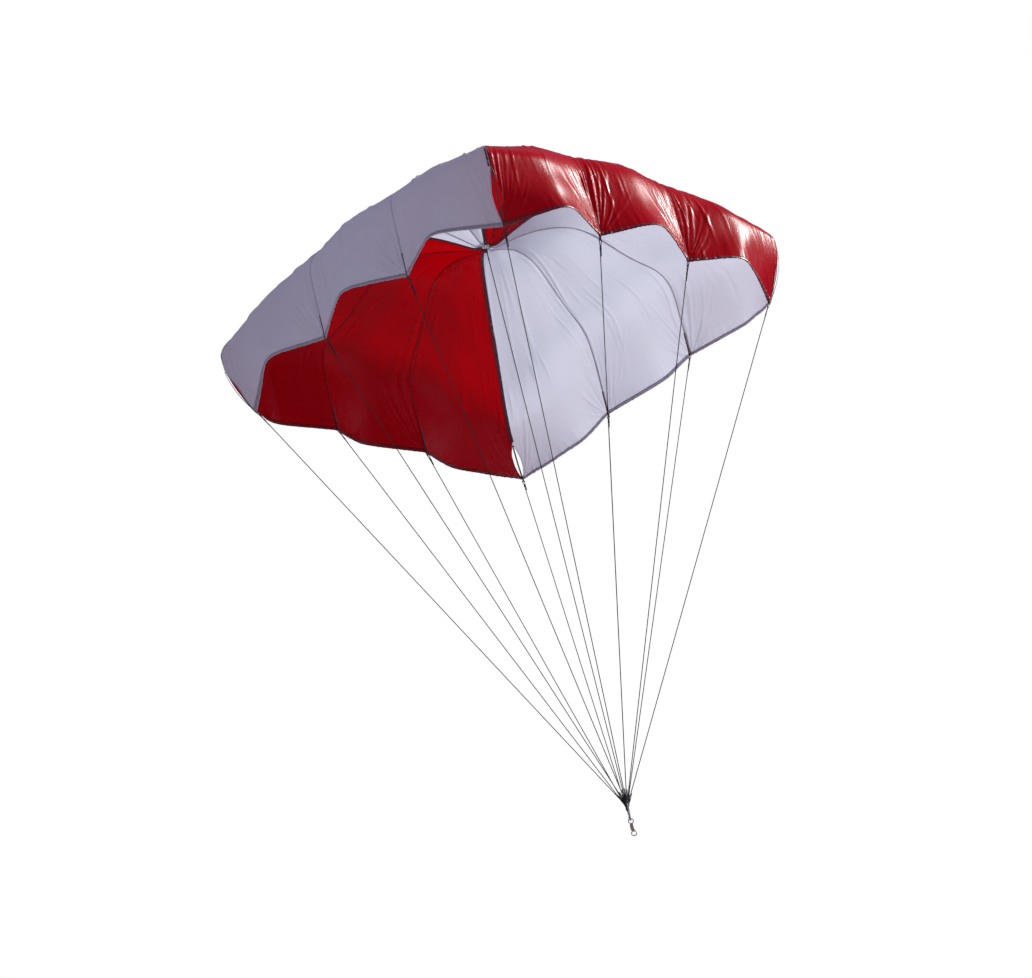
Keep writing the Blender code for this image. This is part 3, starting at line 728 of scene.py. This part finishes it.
def join_edges(piece, fill_ends=True):
    """Merges the points where a grid meets itself. A tube's ends are filled as well."""
    shape = bmesh.new()
    shape.from_mesh(piece.data)
    bmesh.ops.remove_doubles(shape, verts=shape.verts, dist=MERGE_DISTANCE)
    if fill_ends:
        ends = [edge for edge in shape.edges if edge.is_boundary]
        bmesh.ops.holes_fill(shape, edges=ends, sides=0)
        bmesh.ops.recalc_face_normals(shape, faces=shape.faces)
    shape.to_mesh(piece.data)
    shape.free()
    piece.data.shade_smooth()
    return piece


def path_frames(path):
    """Two unit vectors square to a path at each point, turned as little as possible along it."""
    tangents = unit(np.gradient(path, axis=0))
    start = np.cross(tangents[0], UP)
    if np.linalg.norm(start) < 0.05:
        start = np.cross(tangents[0], (0.0, 1.0, 0.0))
    first = [start / np.linalg.norm(start)]
    for tangent in tangents[1:]:
        carried = first[-1] - tangent * np.dot(first[-1], tangent)
        first.append(carried / np.linalg.norm(carried))
    first = np.array(first)
    return first, np.cross(tangents, first)


def round_tube(name, path, radius, around, finish):
    """A round cord or rod along a path, closed at both ends. Its map runs round and along it."""
    first, second = path_frames(path)
    angle = np.linspace(0.0, 2 * math.pi, around + 1)
    ring = np.cos(angle)[None, :, None] * first[:, None]
    ring = ring + np.sin(angle)[None, :, None] * second[:, None]
    points = path[:, None] + ring * radius
    turns = angle / (2 * math.pi)
    cloth_map = np.stack(np.broadcast_arrays(turns[None, :], arc_lengths(path)[:, None]), axis=-1)
    return join_edges(grid_piece(name, points, finish, cloth_map))


def stitch_row(name, path, outward, finish):
    """A row of lock stitches: one thread that rises over each stitch and dips between them."""
    arc = arc_lengths(path)
    starts = np.arange(int(arc[-1] / STITCH_PITCH)) * STITCH_PITCH
    where = (starts[:, None] + np.array(STITCH_PHASES) * STITCH_PITCH).ravel()
    lift = np.tile(STITCH_LIFTS, len(starts))[:, None] * STITCH_RADIUS

    def at(values):
        return np.stack([np.interp(where, arc, values[:, axis]) for axis in range(3)], axis=1)

    thread_path = at(path) + unit(at(outward)) * lift
    return round_tube(name, thread_path, STITCH_RADIUS, STITCH_SIDES, finish)


# ---------------------------------------------------------------- cloth pieces

GORE_COLUMNS = 124
GORE_ROWS = 196
COLUMN_EASE = 0.6
ROW_EASE = 0.45
EVENLY = np.linspace(0.0, 1.0, GORE_COLUMNS + 1)
ACROSS = EVENLY - COLUMN_EASE * np.sin(2 * math.pi * EVENLY) / (2 * math.pi)
HEM_TURN = (math.radians(45), math.radians(90), math.radians(135))


def gore_name(gore):
    side, step = divmod(gore % GORE_COUNT, GORES_PER_SIDE)
    return f"gore_{QUADRANT_NAMES[side]}_{step + 1}"


def point_name(index):
    side, step = divmod(index % GORE_COUNT, GORES_PER_SIDE)
    return f"{QUADRANT_NAMES[side]}_{step}" if step else CORNER_NAMES[side]


def is_red(gore):
    return gore % GORE_COUNT // GORES_PER_SIDE in (0, 2)


def gore_length(gore):
    return (seam_length(gore) + seam_length(gore + 1)) / 2


def gore_cloth(gore):
    """One gore: a single curved sheet from its hem to the crown, with its folds."""
    tip = 1.0 - TIP_RADIUS / gore_length(gore)
    even = np.linspace(0.0, 1.0, GORE_ROWS + 1)
    rise = tip * ((1.0 - ROW_EASE) * even + ROW_EASE * even**2)
    points, _ = cloth_surface(gore, ACROSS, rise)
    widest = max(arc_lengths(points[row])[-1] for row in range(0, GORE_ROWS, 10))
    longest = arc_lengths(points[:, GORE_COLUMNS // 2])[-1]
    faces = np.cross(np.diff(points, axis=0)[:, :-1], np.diff(points, axis=1)[:-1])
    area = float(np.linalg.norm(faces, axis=2).sum())
    finish = RED_CLOTH if is_red(gore) else WHITE_CLOTH
    piece = grid_piece("cloth_" + gore_name(gore)[5:], points, finish)
    thicken(piece, CLOTH_THICKNESS)
    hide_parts(gore_name(gore))
    return piece, (widest, longest), area


def hem_fold(side):
    """A quadrant's hem: its cloth's edge folded round, puckered a little by the stitching."""
    sections = []
    for gore in range(side * GORES_PER_SIDE, (side + 1) * GORES_PER_SIDE):
        rise = np.array([0.0, 0.5, 1.0]) * HEM_WIDTH / gore_length(gore)
        points, normals = cloth_surface(gore, ACROSS, rise)
        along = arc_lengths(points[1])
        draw = np.random.default_rng(HEM_SEED + gore)
        lift = np.zeros_like(along)
        for place in np.arange(0.004, along[-1], HEM_PUCKER_PITCH):
            tall = draw.uniform(0.1, 1.0)
            crest = place + draw.uniform(-0.002, 0.002)
            lift += tall * ridge(along - crest, HEM_PUCKER_WIDTH)
        stand_off = (HEM_STANDS_OFF + lift * (0.0009 if is_red(gore) else 0.0005))[:, None]
        down = unit(points[0] - points[1])
        fold = [
            points[0] + (normals[0] * math.cos(angle) + down * math.sin(angle)) * stand_off
            for angle in HEM_TURN
        ]
        outer = points[::-1] + normals[::-1] * stand_off
        inner = points - normals * stand_off
        sections.append(np.concatenate([outer, np.array(fold), inner]))
    whole = np.concatenate([section[:, :-1] for section in sections] + [sections[-1][:, -1:]], axis=1)
    red = side in (0, 2)
    name = f"hem_{QUADRANT_NAMES[side]}"
    piece = grid_piece("folded_" + name, whole[::-1], RED_HEM if red else WHITE_HEM)
    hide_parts(name)
    return thicken(piece, HEM_THICKNESS)


def hem_stitches(side):
    """Stitch rows on both faces of a quadrant's hem."""
    finish = DARK_THREAD if side in (0, 2) else GREY_THREAD
    for face, sign in (("outer", 1.0), ("inner", -1.0)):
        rows, outs = [], []
        for gore in range(side * GORES_PER_SIDE, (side + 1) * GORES_PER_SIDE):
            rise = np.array([0.9, 1.0, 1.1]) * HEM_STITCH_UP / gore_length(gore)
            points, normals = cloth_surface(gore, ACROSS, rise)
            rows.append(points[1] + normals[1] * sign * (HEM_STANDS_OFF + HEM_THICKNESS / 2))
            outs.append(normals[1] * sign)
        name = f"stitches_hem_{QUADRANT_NAMES[side]}_{face}"
        stitch_row(name, np.concatenate(rows), np.concatenate(outs), finish)


def beside_seam(index, beside, lengths, offset):
    """Points of the cloth at signed distances beside a seam, moved by offset out of the canopy."""
    rise = np.asarray(lengths) / seam_length(index)
    gore = index if beside >= 0 else index - 1
    gore %= GORE_COUNT
    width = np.linalg.norm(seam_points(gore + 1, rise) - seam_points(gore, rise), axis=1)
    share = abs(beside) / width
    step = 0.0012 / width
    spread = np.stack([share, share + step], axis=1)
    if beside < 0:
        spread = 1.0 - spread[:, ::-1]
    points, normals = cloth_surface(gore, spread, rise)
    column = 0 if beside >= 0 else 1
    return points[:, column] + normals[:, column] * offset, normals[:, column]


def seam_strip(name, index, start, end, width, offset, thickness, finish):
    """A strip of cloth or tape that lies along a seam on both sides of it."""
    lengths = np.linspace(start, end, int((end - start) / STRIP_STEP) + 2)
    columns = []
    for beside in np.linspace(-width / 2, width / 2, 7):
        if abs(beside) < 1e-9:
            left = beside_seam(index, -1e-6, lengths, 0.0)
            right = beside_seam(index, 1e-6, lengths, 0.0)
            out = unit(left[1] + right[1])
            lean = np.maximum(np.sum(out * right[1], axis=1, keepdims=True), 0.6)
            columns.append(right[0] + out * offset / lean)
        else:
            columns.append(beside_seam(index, beside, lengths, offset)[0])
    return thicken(grid_piece(name, np.stack(columns, axis=1), finish), thickness)


def seam_stitches(index, start, end, places, offset, finish):
    """Rows of stitches on the inner face of a seam's strip, and the same on the cloth outside it."""
    lengths = np.linspace(start, end, int((end - start) / STITCH_STEP) + 2)
    for face, out in (("inner", -1.0), ("outer", 1.0)):
        for row, beside in enumerate(places, start=1):
            stand_off = abs(offset) + 0.0004 if out < 0 else CLOTH_THICKNESS / 2 + 0.0001
            path, normals = beside_seam(index, beside, lengths, out * stand_off)
            name = f"stitches_seam_{point_name(index)}_{face}_{row}"
            stitch_row(name, path, normals * out, finish)


def corner_tape(corner):
    index = corner * GORES_PER_SIDE
    start = SLOT_START + SLOT_LENGTH
    end = seam_length(index) - TIP_RADIUS
    piece = seam_strip(
        f"tape_{CORNER_NAMES[corner]}", index, start, end, TAPE_WIDTH, -TAPE_STANDS_OFF,
        TAPE_THICKNESS, SEAM_TAPE,
    )
    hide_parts(f"seam_tape_{CORNER_NAMES[corner]}")
    places = (-TAPE_WIDTH / 2 + TAPE_STITCH_INSET, TAPE_WIDTH / 2 - TAPE_STITCH_INSET)
    seam_stitches(index, start, end, places, TAPE_STANDS_OFF + TAPE_THICKNESS / 2, DARK_THREAD)


def felled_seam(index):
    """The doubled strip inside the seam between two gores of one quadrant."""
    end = seam_length(index) - TIP_RADIUS
    red = is_red(index)
    seam_strip(
        f"felled_seam_{point_name(index)}", index, HEM_WIDTH, end, FELL_WIDTH, -FELL_STANDS_OFF,
        FELL_THICKNESS, RED_FELL if red else WHITE_FELL,
    )
    places = (-FELL_STITCH_APART, FELL_STITCH_APART)
    stand_off = FELL_STANDS_OFF + FELL_THICKNESS / 2
    seam_stitches(index, HEM_WIDTH, end, places, stand_off, RED_THREAD if red else PALE_THREAD)


def slot_bindings(corner):
    """The bound edges of a corner slot."""
    seam = corner * GORES_PER_SIDE
    rise = np.linspace(SLOT_START, SLOT_START + SLOT_LENGTH, 60) / seam_length(seam)
    for gore, column, side in ((seam - 1, -1, "left"), (seam, 0, "right")):
        across = np.array([0.0, 0.01]) if column == 0 else np.array([0.99, 1.0])
        points, _ = cloth_surface(gore % GORE_COUNT, across, rise)
        name = f"slot_binding_{CORNER_NAMES[corner]}_{side}"
        red = is_red(gore)
        finish, slot = (RED_HEM, "red_hem") if red else (WHITE_HEM, "white_hem")
        round_tube(name, points[:, column], BINDING_RADIUS, BINDING_SIDES, finish)


# ---------------------------------------------------------------- tabs and lines


def line_direction(index):
    """From a line point towards the middle of the link's bar."""
    return unit(UP * BAR_HEIGHT - line_point(index))


def seam_outward(index, shares):
    """Unit vectors square to a seam, in its upright plane, pointing out of the canopy."""
    after = seam_points(index, np.minimum(shares + 0.001, 1.0))
    before = seam_points(index, np.maximum(shares - 0.001, 0.0))
    return unit(np.cross(np.cross(UP, seam_direction(index)), after - before))


def tab_loop_radius():
    return LINE_DIAMETER / 2 + TOUCH_GAP + TAB_THICKNESS / 2


def line_tab(index):
    """A narrow tape sewn up both faces of a seam, and looped below the hem round a line's eye."""
    corner = index % GORES_PER_SIDE == 0
    length = SLOT_START + SLOT_LENGTH - CORNER_TAB_SHORT if corner else SIDE_TAB_LENGTH
    lengths = np.linspace(0.0, length, 36 if corner else 20)
    shares = lengths / seam_length(index)
    over_hem = np.clip(1.0 - (lengths - HEM_WIDTH) / 0.012, 0.0, 1.0)[:, None]
    outward = seam_outward(index, shares)
    seam = seam_points(index, shares)
    outer = seam + outward * (TAB_ON_CLOTH + (TAB_OUTSIDE - TAB_ON_CLOTH) * over_hem)
    inner = seam - outward * (TAB_INSIDE - TAB_HEM_STEP + TAB_HEM_STEP * over_hem)
    sideways = np.cross(seam_direction(index), UP)
    down = line_direction(index)
    out = np.cross(down, sideways)
    if np.dot(out, seam_direction(index)) < 0:
        out = -out
    centre = line_point(index) + down * TAB_DROP
    angles = np.linspace(0.0, math.pi, 13)[:, None]
    loop = centre + (out * np.cos(angles) + down * np.sin(angles)) * tab_loop_radius()
    path = evened(np.concatenate([outer[::-1], loop, inner]), 0.003)
    across = np.linspace(-TAB_WIDTH / 2, TAB_WIDTH / 2, 5)
    points = path[:, None] + sideways * across[None, :, None]
    name = f"tab_{point_name(index)}"
    piece = grid_piece("webbing_" + name, points, WEBBING)
    thicken(piece, TAB_THICKNESS)
    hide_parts(name)
    bar_tacks(index, outer, outward, sideways)
    return centre, down


def bar_tacks(index, leg, outward, sideways):
    """Close rows of stitches across a tab, near its top and just above the hem."""
    size = Matrix.Diagonal((BAR_TACK_RADIUS, BAR_TACK_RADIUS, TAB_WIDTH * 0.42, 1.0))
    ends = np.array([-0.5, 0.5])[:, None] * sideways * TAB_WIDTH * 0.9
    shape = bmesh.new()
    for place in (-2, -3, 3, 4):
        start, end = leg[place] + outward[place] * (TAB_THICKNESS / 2 + 0.0001) + ends
        axis = Vector(end - start).normalized()
        turn = axis.to_track_quat("Z", "Y").to_matrix().to_4x4()
        matrix = Matrix.Translation((start + end) / 2) @ turn @ size
        bmesh.ops.create_uvsphere(shape, u_segments=6, v_segments=4, radius=1.0, matrix=matrix)
    name = f"bar_tacks_{point_name(index)}"
    data = mesh_from(name, shape)
    data.shade_smooth()
    link_piece(name, data, DARK_THREAD)


def bar_places():
    """The place of each line's eye along the link's bar, in the order of the lines' tops along Y."""
    tops = [*map(line_point, range(GORE_COUNT)), np.zeros(3)]
    order = sorted(range(LINE_COUNT), key=lambda line: (round(tops[line][1], 6), tops[line][0]))
    first = -LINE_PITCH * (LINE_COUNT - 1) / 2
    return {index: first + LINE_PITCH * rank for rank, index in enumerate(order)}


def eye_turn(centre, radius, back, side):
    """A line's turn round a centre: from +side, past the point opposite to back, to -side."""
    angles = np.linspace(0.0, math.pi, 15)[:, None]
    return centre + (side * np.cos(angles) - back * np.sin(angles)) * radius


def run(start, end, step):
    """Points of a straight run, without its end."""
    count = max(1, int(np.linalg.norm(end - start) / step))
    return start + (end - start) * np.linspace(0.0, 1.0, count + 1)[:-1, None]


def tow_line(point, loop_bottom, tab_across, bar_place):
    """One line with an eye at each end, each eye's tail whipped to the line beside it."""
    bar_centre = np.array([0.0, bar_place, BAR_HEIGHT])
    rise = unit(loop_bottom - bar_centre)
    top_side = unit(tab_across - rise * np.dot(tab_across, rise))
    bar_along = np.array([0.0, 1.0, 0.0])
    bar_side = unit(np.cross(rise, bar_along))
    if np.dot(bar_side, top_side) < 0:
        top_side = -top_side
    bar_back = unit(np.cross(bar_along, bar_side))
    if np.dot(bar_back, rise) < 0:
        bar_back = -bar_back
    bar_radius = LINK_WIRE / 2 + TOUCH_GAP + LINE_DIAMETER / 2
    tab_radius = math.hypot(TAB_WIDTH, TAB_THICKNESS) / 2 + TOUCH_GAP + LINE_DIAMETER / 2
    beside = LINE_DIAMETER / 2 + TOUCH_GAP / 2
    top_throat = loop_bottom - rise * EYE_THROAT
    low_throat = bar_centre + rise * EYE_THROAT
    tail = rise * EYE_TAIL
    past_eye = rise * WHIPPING_PAST_EYE
    top_turn = eye_turn(loop_bottom, tab_radius, -rise, top_side)[::-1]
    low_turn = eye_turn(bar_centre, bar_radius, bar_back, bar_side)
    knots = [
        top_throat - top_side * beside - tail,
        top_throat - top_side * beside,
        top_turn,
        top_throat + top_side * beside,
        low_throat + bar_side * beside,
        low_turn,
        low_throat - bar_side * beside,
        low_throat - bar_side * beside + tail,
    ]
    path = [knots[0]]
    for knot in knots[1:]:
        for place in np.atleast_2d(knot):
            path.extend(run(path[-1], place, LINE_STEP)[1:])
            path.append(place)
    path = np.array(path)
    name = f"line_{point}"
    piece = round_tube("cord_" + name, path, LINE_DIAMETER / 2, LINE_SIDES, CORD)
    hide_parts(name)
    whippings = [
        whipping(f"whipping_top_{point}", top_throat - past_eye, -rise, top_side, beside),
        whipping(f"whipping_low_{point}", low_throat + past_eye, rise, bar_side, beside),
    ]


def whipping(name, start, along, side, beside):
    """Thread wound tightly round a line and its tail."""
    out = np.cross(along, side)
    angle = np.linspace(0.0, 2 * math.pi, 25)
    places = np.linspace(0.0, WHIPPING_LENGTH, WHIPPING_TURNS * 6 + 1)
    wave = np.abs(np.sin(np.pi * WHIPPING_TURNS * places / WHIPPING_LENGTH))
    radius = (LINE_DIAMETER / 2 + 0.0002 + 0.00035 * wave)[:, None, None]
    centre = start + along * places[:, None]
    shift = np.sign(np.cos(angle)) * np.minimum(np.abs(np.cos(angle)) * 3.0, 1.0) * beside
    points = (
        centre[:, None]
        + side * (np.cos(angle)[None, :, None] * radius + shift[None, :, None])
        + out * np.sin(angle)[None, :, None] * radius
    )
    return join_edges(grid_piece(name, points, CORD))


# ---------------------------------------------------------------- crown


def crown_surface(distances, offset):
    """Rings of points at distances from the apex along the cloth, moved out by offset."""
    reference = seam_length(1)
    rise = 1.0 - np.asarray(distances) / reference
    across = np.broadcast_to(np.linspace(0.0, 1.0, 9), (len(rise), 9))
    rings = [smooth_surface(gore, across, rise)[:, :-1] for gore in range(GORE_COUNT)]
    rings.append(rings[0][:, :1])
    return np.concatenate(rings, axis=1) + UP * offset


def crown_patch():
    """The round patch over the place where all the gores meet, with two rings of stitches."""
    low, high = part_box("crown_patch")
    radius = (high.x - low.x) / 2
    points = crown_surface(np.linspace(radius, 0.0, 14), PATCH_STANDS_OFF)
    piece = grid_piece("patch_crown", points, WHITE_CLOTH)
    thicken(join_edges(piece, fill_ends=False), PATCH_THICKNESS)
    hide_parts("crown_patch")
    for ring, share in (("outer", 0.90), ("middle", 0.55)):
        path = crown_surface(radius * share - np.array([0.0, 0.002]), PATCH_STITCH_HEIGHT)[0]
        outward = np.broadcast_to(UP, path.shape)
        stitch_row(f"stitches_crown_{ring}", path, outward, PALE_THREAD)


def crown_tab():
    """The tape under the crown patch, looped down through the gores' tips for the crown line's eye."""
    low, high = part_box("tab_crown")
    top = high.z - TAB_THICKNESS / 2
    radius = tab_loop_radius()
    centre = UP * (low.z + TAB_THICKNESS / 2 + radius)
    angles = np.linspace(0.0, math.pi, 15)[:, None]
    across = np.array([1.0, 0.0, 0.0])
    loop = centre + (across * np.cos(angles) - UP * np.sin(angles)) * radius
    corner = [across * radius + UP * (top - 0.001), across * (radius + 0.001) + UP * top]
    path = np.concatenate([
        [across * high.x + UP * top, corner[1], corner[0]],
        loop,
        [corner[0] * (-1, 1, 1), corner[1] * (-1, 1, 1), across * low.x + UP * top],
    ])
    path = evened(path, 0.0012)
    width = np.linspace(-TAB_WIDTH / 2, TAB_WIDTH / 2, 5)
    points = path[:, None] + np.array([0.0, 1.0, 0.0]) * width[None, :, None]
    piece = grid_piece("webbing_tab_crown", points, WEBBING)
    thicken(piece, TAB_THICKNESS)
    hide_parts("tab_crown")


# ---------------------------------------------------------------- hardware


HARDWARE = {
    "steel": (STEEL, ("tow_eye", "swivel_top_eye", "delta_link")),
    "plated_brass": (PLATED_BRASS, ("swivel_barrel", "link_sleeve_nut")),
    "bronze": (BRONZE, ("lower_thrust_washer", "upper_thrust_washer")),
}


def finish_hardware():
    """Gives each piece of the swivel and the link its metal."""
    for slot, (finish, nodes) in HARDWARE.items():
        for node in nodes:
            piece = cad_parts[node]
            piece.data.materials.clear()
            piece.data.materials.append(finish)


# ---------------------------------------------------------------- the whole kite

PLACES = bar_places()
for index in range(GORE_COUNT):
    bottom = line_point(index) + line_direction(index) * (TAB_DROP + tab_loop_radius())
    tow_line(point_name(index), bottom, np.cross(seam_direction(index), UP), PLACES[index])
CROWN_LOOP = UP * (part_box("tab_crown")[0].z + TAB_THICKNESS / 2)
tow_line("crown", CROWN_LOOP, np.array([0.0, 1.0, 0.0]), PLACES[GORE_COUNT])
HEMS = [hem_fold(side) for side in range(CORNERS)]
for gore in range(GORE_COUNT):
    piece, flat, area = gore_cloth(gore)
for corner in range(CORNERS):
    hem_stitches(corner)
    corner_tape(corner)
    slot_bindings(corner)
for index in range(GORE_COUNT):
    if index % GORES_PER_SIDE:
        felled_seam(index)
    line_tab(index)
crown_patch()
crown_tab()
finish_hardware()

# ---------------------------------------------------------------- camera, light and floor

CAMERA_AZIMUTH = math.radians(-4.44)
CAMERA_ELEVATION = math.radians(-27.25)
CAMERA_ROLL = math.radians(-14.06)
CAMERA_DISTANCE = 17.155
CAMERA_RIGHT = 0.0067
CAMERA_UP = -0.3758
CAMERA_LENS = 209.3
FLOOR_DEPTH = 12.0
FLOOR_SIZE = 700.0
SUN_DIRECTION = (0.80, 0.26, 0.54)
SUN_STRENGTH = 4.8
SUN_COLOUR = (1.0, 0.97, 0.94)
SUN_SPREAD = math.radians(4.0)
SKY_COLOUR = (0.70, 0.66, 0.98, 1.0)
SKY_STRENGTH = 0.36


def aim_camera():
    back = Vector((
        math.sin(CAMERA_AZIMUTH) * math.cos(CAMERA_ELEVATION),
        -math.cos(CAMERA_AZIMUTH) * math.cos(CAMERA_ELEVATION),
        math.sin(CAMERA_ELEVATION),
    ))
    level = Vector((math.cos(CAMERA_AZIMUTH), math.sin(CAMERA_AZIMUTH), 0.0))
    upright = back.cross(level)
    right = level * math.cos(CAMERA_ROLL) + upright * math.sin(CAMERA_ROLL)
    up = upright * math.cos(CAMERA_ROLL) - level * math.sin(CAMERA_ROLL)
    place = Vector((0.0, 0.0, SKIRT_HEIGHT)) + back * CAMERA_DISTANCE
    place += right * CAMERA_RIGHT + up * CAMERA_UP
    camera = bpy.data.objects.new("camera", bpy.data.cameras.new("camera"))
    camera.data.lens = CAMERA_LENS
    camera.data.sensor_width = 36.0
    camera.data.clip_end = 2000.0
    camera.matrix_world = Matrix.Translation(place) @ Matrix((right, up, back)).transposed().to_4x4()
    bpy.context.scene.collection.objects.link(camera)
    bpy.context.scene.camera = camera


def sun():
    lamp = bpy.data.lights.new("key", "SUN")
    lamp.energy = SUN_STRENGTH
    lamp.color = SUN_COLOUR
    lamp.angle = SUN_SPREAD
    made = bpy.data.objects.new("key", lamp)
    made.rotation_euler = Vector(SUN_DIRECTION).to_track_quat("Z", "Y").to_euler()
    bpy.context.scene.collection.objects.link(made)


def sky():
    """A pale, slightly violet surround that shows as plain white behind the object."""
    world = bpy.data.worlds.new("surround")
    world.use_nodes = True
    bpy.context.scene.world = world
    nodes, links = world.node_tree.nodes, world.node_tree.links
    soft = nodes["Background"]
    soft.inputs["Color"].default_value = SKY_COLOUR
    soft.inputs["Strength"].default_value = SKY_STRENGTH
    plain = nodes.new("ShaderNodeBackground")
    plain.inputs["Color"].default_value = (1.0, 1.0, 1.0, 1.0)
    rays = nodes.new("ShaderNodeLightPath")
    choose = nodes.new("ShaderNodeMixShader")
    links.new(rays.outputs["Is Camera Ray"], choose.inputs["Fac"])
    links.new(soft.outputs["Background"], choose.inputs[1])
    links.new(plain.outputs["Background"], choose.inputs[2])
    links.new(choose.outputs["Shader"], nodes["World Output"].inputs["Surface"])


def floor():
    shape = bmesh.new()
    bmesh.ops.create_grid(shape, x_segments=1, y_segments=1, size=FLOOR_SIZE / 2)
    bmesh.ops.translate(shape, verts=shape.verts, vec=(0.0, 0.0, -FLOOR_DEPTH))
    data = mesh_from("floor", shape)
    data.materials.append(backdrop("floor_paint", (0.36, 0.35, 0.37)))
    made = bpy.data.objects.new("floor", data)
    bpy.context.scene.collection.objects.link(made)


aim_camera()
sun()
sky()
floor()
bpy.context.scene.view_settings.view_transform = "Standard"
